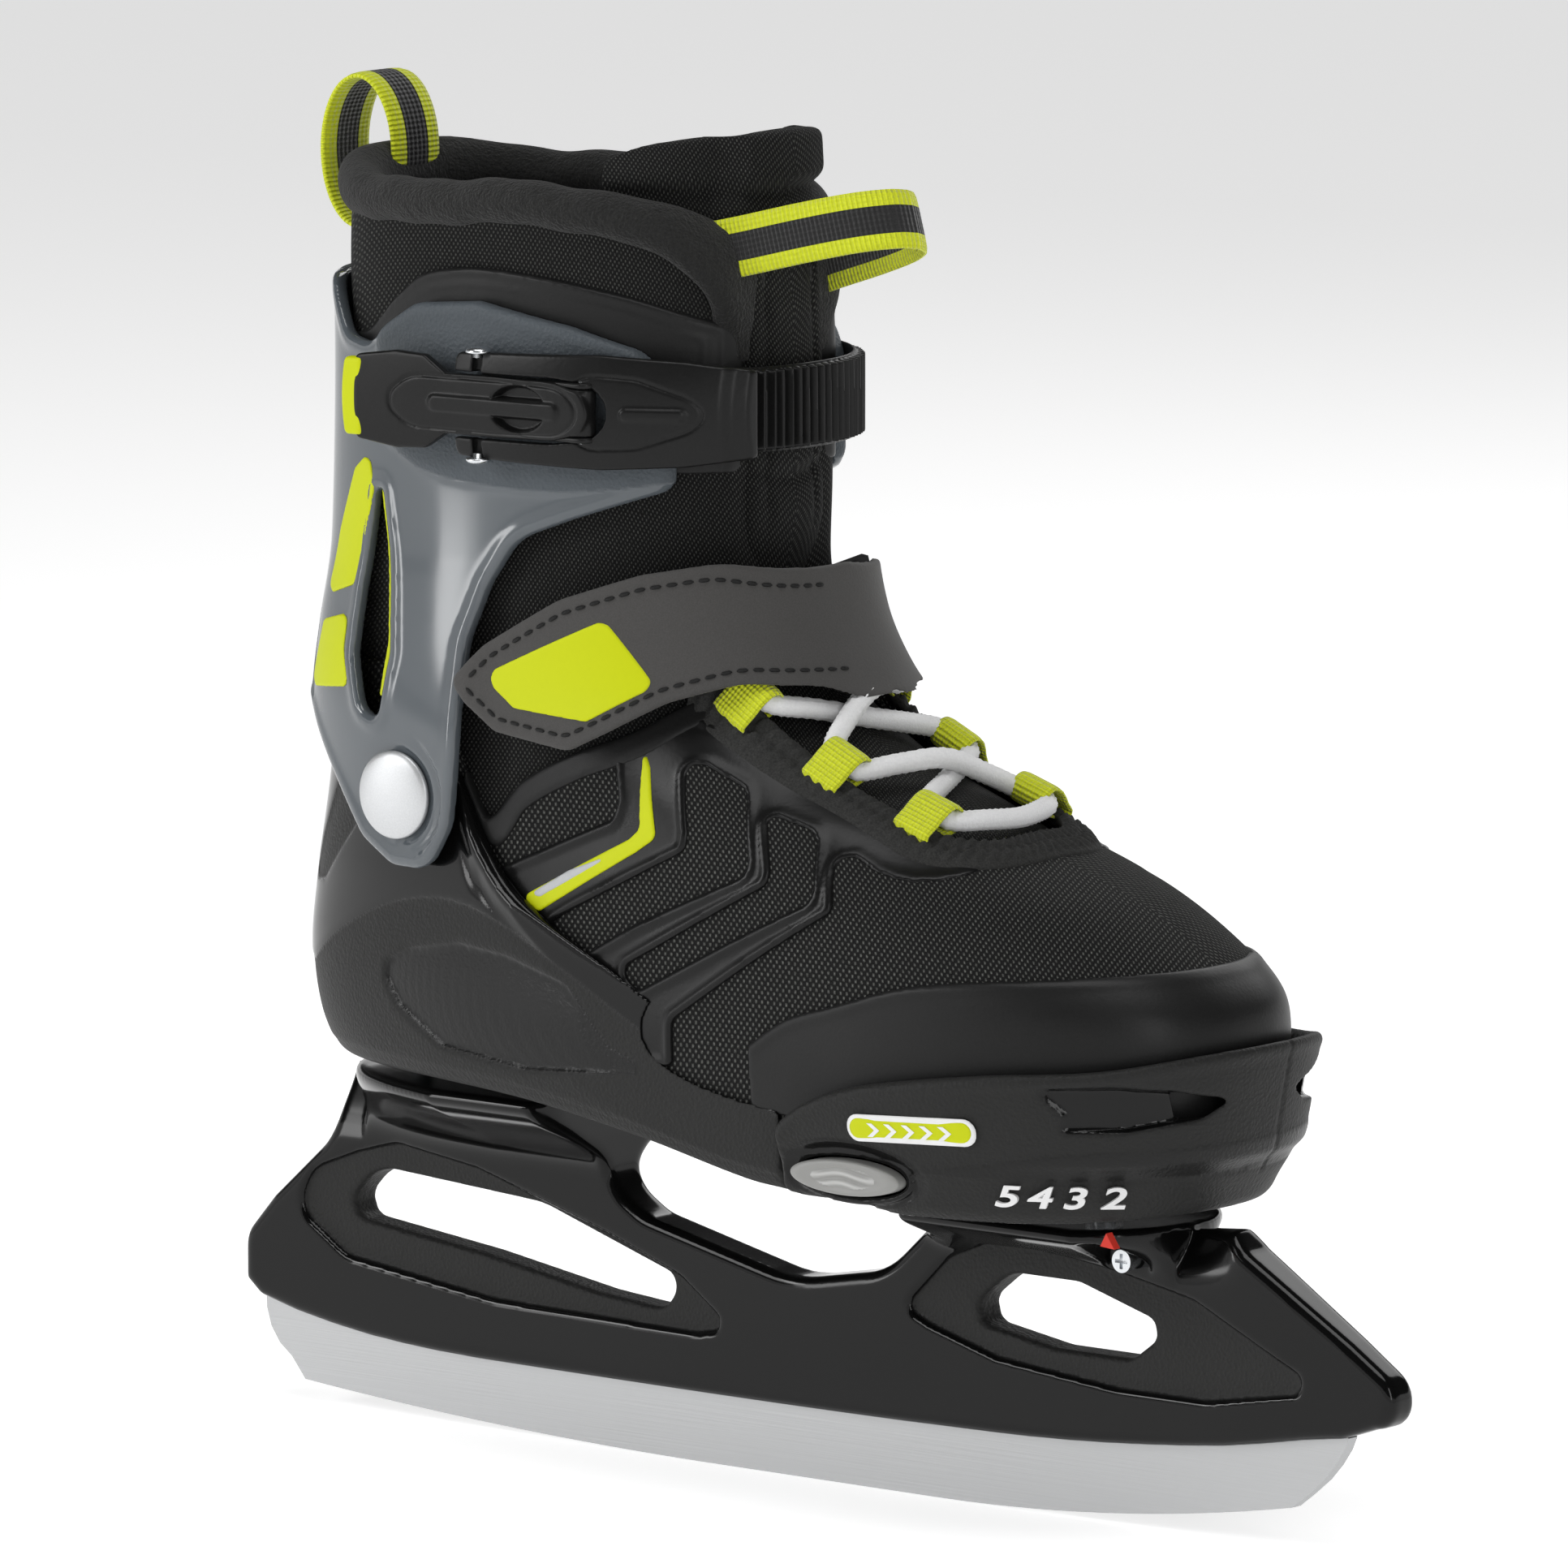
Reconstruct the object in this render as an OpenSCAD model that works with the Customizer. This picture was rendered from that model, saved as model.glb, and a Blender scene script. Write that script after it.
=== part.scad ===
// Size-adjustable recreational ice skate: steel runner, moulded holder, two-part shell that
// extends by one to three shoe sizes, hinged cuff with a lever buckle, and a soft padded boot.
// Right foot. +X points to the toe, +Y to the inner (medial) side, +Z up.
// The origin is the middle of the flat stretch of the runner's edge, at ice level.

/* [Runner and holder] */
// Thickness of the steel runner
blade_t = 3; // [2.4:0.1:4]
// Width of the holder's lower rail
rail_t = 11; // [9:0.5:13]
// Width of the holder under the heel
heel_plate_w = 56; // [50:1:60]

/* [Shell] */
// Wall thickness of the moulded shells
shell_t = 2.8; // [2.4:0.1:3]
// Diameter of the ankle pivot caps
cap_d = 20; // [18:0.5:22]

/* [Fit] */
// Toe travel for one shoe size
size_step = 6.67; // [6:0.01:7]
// Radial clearance of the turning pins
running_fit = 0.06; // [0.03:0.01:0.1]

/* [Buckle] */
// Height of the ratchet strap
ladder_h = 17; // [15:0.5:19]

/* [Hidden] */
$fn = 32;

black = "#1b1b1d";
cuff_grey = "#5d656b";
lime = "#c8dc10";
textile = "#29292c";
silver = "#b4b6b8";

pivot = [-84, 142];        // x and z of the ankle pivot
hinge = [-33, -41];        // x and y of the buckle lever's pin
lever_tilt = 4;            // the closed lever leans out by this angle
arm_pin_x = -25;           // from the lever's pin to the arm's pin, along the lever
lever_mid = -2.6;          // from the lever's pin out to the middle of its thickness
arm_centre = [-58, 32];    // the buckle arm is bent round this vertical axis
arm_r = 79;                // outer radius of the bent buckle arm
buckle_z = [215.5, 237.5]; // lower and upper edge of the buckle
mid_z = (buckle_z[0] + buckle_z[1]) / 2;

// ---------- boot form ----------
// The soft boot as a stack of horizontal slices. Each key is [height, value].
back_x = [[60, -112], [72, -120], [80, -124], [90, -129], [104, -131], [120, -129], [145, -124],
    [165, -122], [205, -120], [245, -119], [290, -121]];
front_x = [[60, 94], [72, 100], [80, 105], [92, 108], [104, 110], [112, 108], [121, 98], [130, 82],
    [137, 62], [144, 46], [150, 30], [157, 17], [165, 6], [173, -1], [182, -6], [195, -9],
    [240, -10], [290, -13]];
wide_x = [[60, 35], [110, 32], [125, 12], [140, -15], [155, -42], [170, -60], [200, -64],
    [290, -66]];
half_w = [[60, 37], [80, 41.5], [95, 43.5], [112, 43], [125, 41.5], [140, 39], [155, 37],
    [170, 36], [205, 36], [245, 37], [290, 38]];
n_back = 2.4;
n_front = 2.3;
sole_z = [[-140, 81], [-60, 81], [-10, 74], [30, 67], [120, 67]];

// Smooth curve through keys [[x, y], ...]: a cubic with averaged slopes, flat past its ends.
function seg(k, x, i = 0) = i >= len(k) - 2 || x < k[i + 1][0] ? i : seg(k, x, i + 1);
function slope(k, i) = let (a = max(i - 1, 0), b = min(i + 1, len(k) - 1))
    (k[b][1] - k[a][1]) / (k[b][0] - k[a][0]);
function curve(k, x) = let (
    i = seg(k, x),
    h = k[i + 1][0] - k[i][0],
    t = max(0, min(1, (x - k[i][0]) / h)),
    a = slope(k, i) * h,
    b = slope(k, i + 1) * h)
    (2 * t ^ 3 - 3 * t ^ 2 + 1) * k[i][1] + (t ^ 3 - 2 * t ^ 2 + t) * a
    + (3 * t ^ 2 - 2 * t ^ 3) * k[i + 1][1] + (t ^ 3 - t ^ 2) * b;

// Half width of the boot form at x in the slice at height z, grown outwards by g.
function half(x, z, g = 0) = let (
    m = curve(wide_x, z),
    back = x < m,
    e = back ? m - curve(back_x, z) + g : curve(front_x, z) + g - m,
    n = back ? n_back : n_front,
    u = min(1, abs(x - m) / e))
    (curve(half_w, z) + g) * pow(1 - pow(u, n), 1 / n);

// Point on the slice at height z. s runs from -1 on the outer side to 1 on the inner side, round
// the heel (dir -1) or round the toe or shin (dir 1); both ends are at x_end.
function round_pt(s, z, g, x_end, dir) = let (
    tip = dir < 0 ? curve(back_x, z) - g : curve(front_x, z) + g,
    x = tip + (x_end - tip) * pow(abs(s), 1.8),
    y = half(x, z, g))
    [x, s < 0 ? -y : y, z];

// The same point, with its height a share t of the way from the low to the high limit at its x.
function wall_pt(s, t, g, w, z, pass = 3) = let (
    p = round_pt(s, z, g + curve(w[4], z), curve(w[2], z), w[3]),
    lo = curve(w[0], p[0]),
    hi = curve(w[1], p[0]),
    z1 = lo + (hi - lo) * t)
    pass == 0 ? p : wall_pt(s, t, g, w, z1, pass - 1);

function steps(n, a = -1, b = 1) = [for (i = [0:n]) a + (b - a) * i / n];
function level(v) = [[-200, v], [300, v]];

// Closed solid between two grids of points with the same layout.
module sheet(outer, inner, flip = false) {
    r = len(outer);
    c = len(outer[0]);
    function o(i, j) = i * c + j;
    function n(i, j) = r * c + i * c + j;
    faces = concat(
        [for (i = [0:r - 2]) for (j = [0:c - 2]) each [
            [o(i, j), o(i, j + 1), o(i + 1, j + 1)],
            [o(i, j), o(i + 1, j + 1), o(i + 1, j)],
            [n(i, j), n(i + 1, j + 1), n(i, j + 1)],
            [n(i, j), n(i + 1, j), n(i + 1, j + 1)]]],
        [for (j = [0:c - 2]) each [
            [o(0, j), n(0, j), o(0, j + 1)],
            [o(0, j + 1), n(0, j), n(0, j + 1)],
            [o(r - 1, j), o(r - 1, j + 1), n(r - 1, j)],
            [o(r - 1, j + 1), n(r - 1, j + 1), n(r - 1, j)]]],
        [for (i = [0:r - 2]) each [
            [o(i, 0), o(i + 1, 0), n(i, 0)],
            [o(i + 1, 0), n(i + 1, 0), n(i, 0)],
            [o(i, c - 1), n(i, c - 1), o(i + 1, c - 1)],
            [o(i + 1, c - 1), n(i, c - 1), n(i + 1, c - 1)]]]);
    points = [for (g = [outer, inner]) for (row = g) for (p = row) p];
    polyhedron(points, [for (f = faces) flip ? f : [f[0], f[2], f[1]]]);
}

// Wall of the boot form from offset g0 to g1. low and high are its height limits over x, x_end is
// its end over height, grow is extra offset over height, ends are the limits of s.
module wall(g0, g1, x_end, dir, low, high, cols = 24, rows = 5, grow = level(0),
    ends = [-1, 1]) {
    w = [low, high, x_end, dir, grow];
    ss = steps(cols, dir > 0 ? ends[0] : ends[1], dir > 0 ? ends[1] : ends[0]);
    function grid(g) = [for (t = steps(rows, 0, 1)) [for (s = ss) wall_pt(s, t, g, w, 150)]];
    sheet(grid(g1), grid(g0));
}

// Patch on one side (-1 outer, 1 inner) from offset g0 to g1. low and high are limits over x.
module side_patch(side, x0, x1, low, high, g0, g1, cols = 8, rows = 3) {
    function grid(g) = [for (t = steps(rows, 0, 1)) [for (x = steps(cols, x0, x1)) let (
        z = curve(low, x) + (curve(high, x) - curve(low, x)) * t)
        [x, side * half(x, z, g), z]]];
    sheet(grid(g1), grid(g0), side > 0);
}

// Height of the form's upper surface over (x, y), found by halving.
function top_z(x, y, a = 100, b = 290, k = 0) = let (m = (a + b) / 2)
    k > 14 ? m : (x < curve(front_x, m) && half(x, m) > abs(y)) ? top_z(x, y, m, b, k + 1)
    : top_z(x, y, a, m, k + 1);

// Patch on the upper surface between x0 and x1, from y0 to y1, lifted from h0 to h1.
module top_patch(x0, x1, y0, y1, h0, h1, cols = 6, rows = 8) {
    function grid(h) = [for (x = steps(rows, x0, x1)) [for (y = steps(cols, y0, y1))
        [x, y, top_z(x, y) + h]]];
    sheet(grid(h1), grid(h0), true);
}

// Tube of radius r along points, with n sides.
function unit(v) = v / norm(v);
module tube(path, r, n = 8) {
    m = len(path);
    dirs = [for (i = [0:m - 1]) unit(path[min(i + 1, m - 1)] - path[max(i - 1, 0)])];
    function side_of(i, ref) = unit(cross(dirs[i], cross(ref, dirs[i])));
    function refs(i, ref) = i >= m ? [] : let (s = side_of(i, ref)) concat([s], refs(i + 1, s));
    sides = refs(0, [0.3, 0.5, 0.8]);
    rings = [for (i = [0:m - 1]) for (k = [0:n - 1]) let (a = 360 * k / n)
        path[i] + r * (cos(a) * sides[i] + sin(a) * cross(dirs[i], sides[i]))];
    skin = [for (i = [0:m - 2]) for (k = [0:n - 1]) let (
        a = i * n + k, b = i * n + (k + 1) % n)
        each [[a, b + n, b], [a, a + n, b + n]]];
    caps = [[for (k = [0:n - 1]) k], [for (k = [n - 1:-1:0]) (m - 1) * n + k]];
    polyhedron(rings, concat(skin, caps));
}

// Points of a smooth curve through p, with k points for each step.
function spline(p, k) = let (m = len(p)) concat([for (i = [0:m - 2]) for (j = [0:k - 1]) let (
    t = j / k,
    a = p[max(i - 1, 0)], b = p[i], c = p[i + 1], d = p[min(i + 2, m - 1)])
    0.5 * (2 * b + (c - a) * t + (2 * a - 5 * b + 4 * c - d) * t ^ 2
        + (3 * b - a - 3 * c + d) * t ^ 3)], [p[m - 1]]);

// Flat outline with rounded corners; each point is [x, z, corner radius].
function corner(a, b, c, r, n = 5) = let (
    u = unit(a - b), v = unit(c - b),
    half_angle = acos(u * v) / 2,
    reach = min(r / tan(half_angle), 0.49 * norm(a - b), 0.49 * norm(c - b)),
    mid = b + unit(u + v) * reach / cos(half_angle),
    p = b + u * reach, q = b + v * reach)
    [for (i = [0:n]) let (w = p + (q - p) * i / n) mid + unit(w - mid) * norm(p - mid)];
function smooth_outline(k) = [for (i = [0:len(k) - 1]) let (
    m = len(k), a = k[(i + m - 1) % m], b = k[i], c = k[(i + 1) % m])
    each b[2] == 0 ? [[b[0], b[1]]]
    : corner([a[0], a[1]], [b[0], b[1]], [c[0], c[1]], b[2])];
// Extrudes an outline in x and z across the skate, between y0 and y1.
module across(outline, y0, y1) {
    translate([0, y1, 0]) rotate([90, 0, 0]) linear_extrude(y1 - y0) polygon(outline);
}
// Pin or bore along Y, between distances y0 and y1 from the middle plane on one side.
module side_pin(side, x, y0, y1, z, d) {
    pin(x, side < 0 ? -y1 : y0, side < 0 ? -y0 : y1, z, d);
}
module pin(x, y0, y1, z, d) {
    translate([x, y0, z]) rotate([-90, 0, 0]) cylinder(d = d, h = y1 - y0);
}

// ---------- runner ----------
flat_x = 30;
rivet_x = [-110, 0, 95];
function rocker(x) = abs(x) < flat_x ? 0 : (abs(x) - flat_x) ^ 2 / (x > 0 ? 950 : 2600);
joint_line = [[-158, 24], [-148, 21], [-122, 17], [-90, 15.5], [50, 16], [101, 19.5], [134, 25]];
blade_outline = concat(
    [for (x = steps(44, -144, 122)) [x, rocker(x)]],
    [[126, 12], [130, 15.4], [133, 18.8], [135.3, 22.2], [136.5, 25]],
    [for (x = steps(24, 128, -150)) [x, curve(joint_line, x) + 5]],
    [[-155, 24], [-154.8, 19.5], [-153.6, 15.6], [-151.2, 12.2], [-147.8, 9.6]]);

module blade() {
    color(silver) difference() {
        across(blade_outline, -blade_t / 2, blade_t / 2);
        for (x = rivet_x) pin(x, -5, 5, curve(joint_line, x) + 2.6, 4);
    }
}

module blade_rivets() {
    color(silver) for (x = rivet_x)
        pin(x, -rail_t / 2 + 1.3, rail_t / 2 - 1.3, curve(joint_line, x) + 2.6, 3.9);
}

// ---------- holder ----------
holder_outline = smooth_outline(concat(
    [[-158, 26, 0], [-158, 36, 4], [-150, 45, 6], [-133, 60, 8], [-131, 78, 0], [-55, 78, 0],
    [-56, 68, 10], [-56, 57, 12], [-47, 51.5, 14], [-7, 42.5, 30], [18, 47, 20], [32, 60, 5],
    [34, 65, 0], [108, 65, 0], [112, 61, 6], [138, 45, 8], [150, 37, 5], [149, 28, 4]],
    [for (x = steps(24, 136, -154)) [x, curve(joint_line, x), 0]]));
rear_window = smooth_outline([[-132, 43, 7], [-122, 54, 11], [-76, 51, 24], [-38, 39, 4],
    [-42, 32, 5], [-60, 33.5, 8], [-92, 38.5, 20]]);
front_window = smooth_outline([[37, 39.5, 4], [50, 50, 9], [68, 50, 8], [92, 43, 4],
    [82, 35.5, 5], [62, 35.5, 7]]);
heel_bolts = [[-112, 0], [-68, 0]];
toe_bolts = [[46, 0], [72, 0]];

module flare(x0, x1, z0, z1, w, inset) {
    hull() {
        translate([x0 + inset, -rail_t / 2, z0]) cube([x1 - x0 - 2 * inset, rail_t, 1]);
        translate([x0, -w / 2 + 4, z1 - 3]) cube([x1 - x0, w - 8, 3]);
        translate([x0 + 6, -w / 2, z1 - 3]) cube([x1 - x0 - 12, w, 3]);
    }
}
module blade_holder() {
    color(black) difference() {
        union() {
            across(holder_outline, -rail_t / 2, rail_t / 2);
            flare(-131, -55, 60, 78, heel_plate_w, 8);
            flare(34, 108, 54, 65, 50, 3);
        }
        across(rear_window, -30, 30);
        across(front_window, -30, 30);
        across([for (p = blade_outline) [p[0], p[1] + 0.1]], -blade_t / 2 - 0.05,
            blade_t / 2 + 0.05);
        for (x = rivet_x)
            pin(x, -rail_t / 2 + 1.2, rail_t / 2 - 1.2, curve(joint_line, x) + 2.6, 4);
        for (p = heel_bolts) translate([p[0], 0, 58]) cylinder(d = 5.2, h = 30);
        for (p = toe_bolts) translate([p[0], 0, 52]) cylinder(d = 5.2, h = 30);
        pin(84, -20, 6, 57, 4);
        pin(84, -30, -rail_t / 2 - 2, 57, 9);
    }
}
module frame_bolts() {
    color(silver) {
        for (p = heel_bolts) translate([p[0], p[1], 64]) {
            cylinder(d = 5, h = 20.8);
            translate([0, 0, 20.8]) cylinder(d = 11, h = 1.6);
        }
        for (p = toe_bolts) translate([p[0], p[1], 56]) {
            cylinder(d = 5, h = 12);
            translate([0, 0, 12]) cylinder(d = 8, h = 1.6);
        }
    }
}
module cross_screw() {
    color(silver) difference() {
        union() {
            pin(84, -rail_t / 2 - 2, 5, 57, 3.9);
            pin(84, -rail_t / 2 - 4.2, -rail_t / 2 - 2, 57, 4.8);
        }
        translate([84, -rail_t / 2 - 4.5, 57]) cube([0.8, 3, 3.2], center = true);
        translate([84, -rail_t / 2 - 4.5, 57]) cube([3.2, 3, 0.8], center = true);
    }
}

// ---------- base shell, fixed to the holder ----------
shell_low = [[-140, 80.5], [-60, 80.5], [-20, 76], [10, 70], [20, 69]];
shell_high = [[-140, 161], [-122, 161], [-104, 155.5], [-84, 154], [-70, 147], [-62, 135],
    [-53, 125.5], [-40, 118], [-18, 108], [4, 97], [14, 91], [21, 86]];
shell_end = 21;   // x of the base shell's front edge
g_shell = 0.8;
boss_y = 32.4;    // inner face of the boss behind the ankle pivot
boss_d = 16;
cap_y = 41.4;     // underside of the pivot caps

// Floor of the form between x0 and x1: its upper face follows keys z over x.
module floor_slab(x0, x1, z_keys, t, inset, cols = 12, rows = 26) {
    function edge(x, z) = half(x, z, -inset);
    function grid(dz) = [for (x = steps(rows, x0, x1)) let (z = curve(z_keys, x))
        [for (s = steps(cols, -1, 1)) [x, s * edge(x, z), z + dz]]];
    sheet(grid(0), grid(-t), true);
}
floor_top = [[-140, 84], [-60, 84], [-10, 76.5], [30, 69.6], [120, 69.6]];

module base_shell() {
    color(black) difference() {
        union() {
            wall(g_shell, g_shell + shell_t, level(shell_end), -1, shell_low, shell_high, 44, 8);
            floor_slab(-124, 86, floor_top, 3, 0.5);
            for (s = [-1, 1]) side_pin(s, pivot[0], boss_y, 35.8, pivot[1], boss_d);
        }
        for (s = [-1, 1]) side_pin(s, pivot[0], 20, 60, pivot[1], 8.1);
        for (p = heel_bolts) translate([p[0], p[1], 76]) cylinder(d = 5.2, h = 10);
        for (p = toe_bolts) translate([p[0], p[1], 62]) {
            cylinder(d = 5.2, h = 10);
            translate([0, 0, 6]) cylinder(d = 8.2, h = 10);
        }
    }
}
module size_pointer() {
    color("#d8402c") translate([91, -25, 63]) rotate([90, 0, 0]) linear_extrude(2)
        polygon([[1, 0.4], [4.6, 0.1], [2.5, 3.2]]);
}
insole_z = [[-140, 90.5], [-60, 90], [-10, 83], [30, 79.2], [120, 79.2]];
module insole() {
    color(textile) floor_slab(-118, 92, insole_z, 3, 7);
}
module pivot_rivet(s) {
    color(silver) mirror([0, s > 0 ? 1 : 0, 0]) translate([pivot[0], 0, pivot[1]])
        rotate([90, 0, 0]) {
            translate([0, 0, boss_y - 1.4]) cylinder(d = 8, h = cap_y - boss_y + 1.5);
            translate([0, 0, boss_y - 1.4]) cylinder(d = 12, h = 1.4);
            translate([0, 0, cap_y]) rotate_extrude() polygon([[0, 0], [cap_d / 2, 0],
                for (a = [5:17:90]) [cap_d / 2 * cos(a), 0.8 + 2 * sin(a)], [0, 2.8]]);
        }
}
module pivot_rivet_lateral() { pivot_rivet(-1); }
module pivot_rivet_medial() { pivot_rivet(1); }

// ---------- soft boot, lower half ----------
throat_end = [[60, 36], [132, 36], [140, 40], [143, 39], [147, 29], [151.5, 16], [156.5, 6],
    [164, -6], [175, -14], [200, -20]];
quarter_low = [[-140, 88], [-60, 88], [-10, 81], [30, 75], [60, 75]];
quarter_high = [[-125, 168], [-86, 168], [-60, 171], [-40, 179], [-24, 190]];
module quarter() {
    color(textile) difference() {
        wall(-5, -1.4, throat_end, -1, quarter_low, quarter_high, 36, 8);
        for (s = [-1, 1]) side_pin(s, pivot[0], boss_y - 1.7, 60, pivot[1], boss_d + 1);
    }
}
// Three chevron bars on each side.
module quarter_overlays() {
    color(black) for (side = [-1, 1]) for (k = [0:2]) let (x = -42 + 22 * k)
        side_patch(side, x, x + 9, [[x, 118 - 6 * k], [x + 9, 111 - 6 * k]],
            [[x, 138 - 4 * k], [x + 9, 131 - 4 * k]], -1.2, 0.5);
}
module tongue_lower() {
    color(textile) top_patch(2, 36, -19, 19, -11.5, -8.2);
}
function throat_strip(side, g) = [for (z = steps(8, 141, 165)) let (x = curve(throat_end, z))
    [for (k = [-9, -5, -1]) [x + k, side * half(x + k, z, g), z]]];
module eyestay() {
    color(black) for (side = [-1, 1])
        sheet(throat_strip(side, 1.2), throat_strip(side, -0.6), side > 0);
}

// Lace loops: a sleeve and its sewn tail on each side of the throat, in three pairs. Each is
// [x, y, height above the form, forward pitch, tilt down to the side].
loop_at = [[-2.5, 21.6, 4.1, 32, 45], [18.5, 18.5, 3.1, 25, 30], [41, 16.6, 2.8, 18, 20]];
loop_w = 9;
module lace_loops() {
    color(lime) for (side = [-1, 1]) for (p = loop_at)
        translate([p[0], side * p[1], top_z(p[0], p[1]) + p[2]]) rotate([0, 90 + p[3], 0])
            rotate([0, 0, -side * p[4]]) difference() {
                union() {
                    cylinder(d = 6, h = loop_w, center = true);
                    translate([0.9, side * 3.4, 0]) cube([1.4, 6.8, loop_w], center = true);
                }
                cylinder(d = 4.7, h = loop_w + 3, center = true);
            }
}
// The lace runs from under the strap through both rows of loops, with two crosses and a bar
// across the front pair. Each point is [x, y, height above the form].
lace_route = [[-13, -19, 3], [-9, -20.5, 3.4], [-6, -21.6, 4], [-2.5, -21.6, 4.1], [1, -20.6, 3.8],
    [5, -12, 0.8], [9.5, 0, 0], [12, 10, 0.8], [14.5, 17.5, 2.9], [18.5, 18.5, 3.1],
    [22, 18.1, 2.9], [26, 10, 1], [30, 0, 0.4], [33.5, -9, 0.8], [37, -16, 2], [41, -16.6, 2.8],
    [44.6, -15.6, 2.5], [48, -9, 2.5], [49.5, 0, 2.3], [48, 9, 2.5], [44.6, 15.6, 2.5],
    [41, 16.6, 2.8], [37, 16, 2], [33.5, 9, 3.4], [30, 0, 5.4], [26, -10, 3.8],
    [22, -18.1, 2.9], [18.5, -18.5, 3.1], [14.5, -17.5, 2.9], [12, -10, 3.6], [9.5, 0, 5.3],
    [5, 12, 3.8], [1, 20.6, 3.8], [-2.5, 21.6, 4.1], [-6, 21.6, 4], [-9, 20.5, 3.4],
    [-13, 19, 3]];
lace_r = 2;
module lace() {
    color("white") tube(spline([for (p = lace_route) [p[0], p[1], top_z(p[0], p[1]) + p[2]]], 2),
        lace_r);
}

// ---------- instep strap ----------
strap_low = [[-66, 158], [-40, 156.5], [-25, 160], [-14, 167.5], [-2, 171], [8, 170.5], [14, 168]];
strap_high = [[-66, 169], [-58, 176], [-39, 187], [-22, 193], [-9, 195.5], [-3, 194], [14, 190]];
strap_g = [7.4, 9.2];
strap_split = -16;
peel_at = [strap_split - 2.4, -36.2, 176]; // on the line about which the strap's end peels off
peel_tilt = 15;
module strap_band() {
    color(black) wall(strap_g[0], strap_g[1], level(strap_split), 1, strap_low, strap_high, 20, 4);
}
module strap_ring() {
    color(black) translate([-20.5, 37, 173]) rotate([15, 0, -24]) difference() {
        cube([3, 8, 33], center = true);
        cube([5, 4.5, 28], center = true);
    }
}
// The end of the strap, with its edge rounded about the line on which it folds back.
module strap_tip() {
    color(black) {
        side_patch(-1, -61.5, strap_split - 3.1, strap_low, strap_high, strap_g[0], strap_g[1],
            10, 3);
        translate(peel_at) rotate([-peel_tilt, 0, 0]) cylinder(d = 1.8, h = 18, center = true);
    }
}

// ---------- toe shell, slides forward ----------
toe_low = [[15, 71], [40, 68], [90, 67.5], [120, 69]];
toe_high = [[18, 76], [25, 85], [35, 91], [48, 95], [74, 99], [98, 101], [117, 105]];
toe_end = 24;      // x of the toe shell's rear edge
g_toe = 4.1;
button_at = [42, 75]; // x and z of the middle of the release button
button_h = 7.6;
button_ratio = 3.7;   // length over height of the button
module toe_shell() {
    color(black) difference() {
        union() {
            wall(g_toe, g_toe + shell_t, level(toe_end), 1, toe_low, toe_high, 36, 6);
            floor_slab(30, 106, level(74.5), 3, -g_toe - 1);
        }
        button_oval(button_h + 0.8, -60, -36);
    }
}
// Long oval of height d round the button's middle, between y0 and y1.
module button_oval(d, y0, y1) {
    translate([button_at[0], y0, button_at[1]]) rotate([-90, 0, 0])
        scale([button_ratio, 1, 1]) cylinder(d = d, h = y1 - y0, $fn = 40);
}
module toe_box() {
    color(textile) wall(-3.6, -0.4, level(46), 1, level(77), level(141.5), 28, 14);
}
module toe_rand() {
    color(black) wall(0.2, 1.4, level(48), 1, level(92), [[20, 106], [41, 112], [72, 115], [115, 117]],
        24, 4);
}
module size_badge() {
    color(lime) side_patch(-1, 44, 74, [[44, 82.6], [74, 84]], [[44, 89.2], [74, 90.6]],
        g_toe + shell_t + 0.05, g_toe + shell_t + 0.9, 6, 2);
}
// Size scale: numerals 5 4 3 2, one size step apart.
digit_bars = [["5", [0, 1, 3, 5, 6]], ["4", [1, 2, 3, 5]], ["3", [0, 2, 3, 5, 6]],
    ["2", [0, 2, 3, 4, 6]]];
bar_at = [[0, 2, 1], [-1, 1, 0], [1, 1, 0], [0, 0, 1], [-1, -1, 0], [1, -1, 0], [0, -2, 1]];
module size_numerals() {
    color("white") for (k = [0:3]) let (
        x = 78.3 + k * size_step, y = -half(x, 77, g_toe + shell_t), turn = [22, 27, 34, 42][k])
        translate([x, y - 0.55, 74]) rotate([0, 0, turn]) for (b = digit_bars[k][1]) let (q = bar_at[b])
            translate([q[0] * 1.6, -0.4, q[1] * 1.35])
                cube([q[2] ? 3.8 : 0.9, 0.6, q[2] ? 0.9 : 2.9], center = true);
}
module size_button() {
    color("#9b9d9e") {
        button_oval(button_h, -48.6, -44.6);
        pin(button_at[0], -44.8, -41.5, button_at[1], 3.4);
    }
}
module button_spring() {
    color(silver) translate([button_at[0], -41.2, button_at[1]]) rotate([-90, 0, 0])
        difference() {
            cylinder(d = 6, h = 5);
            translate([0, 0, -1]) cylinder(d = 4.4, h = 7);
        }
}

// ---------- cuff, turns about the ankle ----------
g_cuff = 1.2;
cuff_grow = [[140, 4], [158, 3.9], [173, 2.2], [193, 0], [300, 0]];
cuff_end = -21;
cuff_low = [[-140, 159], [-122, 158], [-108, 150], [-96, 141], [-90, 133], [-84, 130.5], [-74, 131],
    [-67, 136], [-64, 150], [-63, 176], [-58, 190], [-51, 199], [-37, 203.5], [-20, 211]];
cuff_high = [[-140, 250], [-114, 248], [-104, 237], [-95, 236], [-88, 241], [-79, 246], [-62, 247.5],
    [-40, 243.5], [-26, 239], [-20, 233]];
window = smooth_outline([[-92, 211, 2], [-94.5, 198, 5], [-97.5, 184, 8], [-99, 170, 6],
    [-96, 159, 4], [-90, 157, 3], [-86.6, 172, 10], [-89, 194, 10]]);
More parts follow.
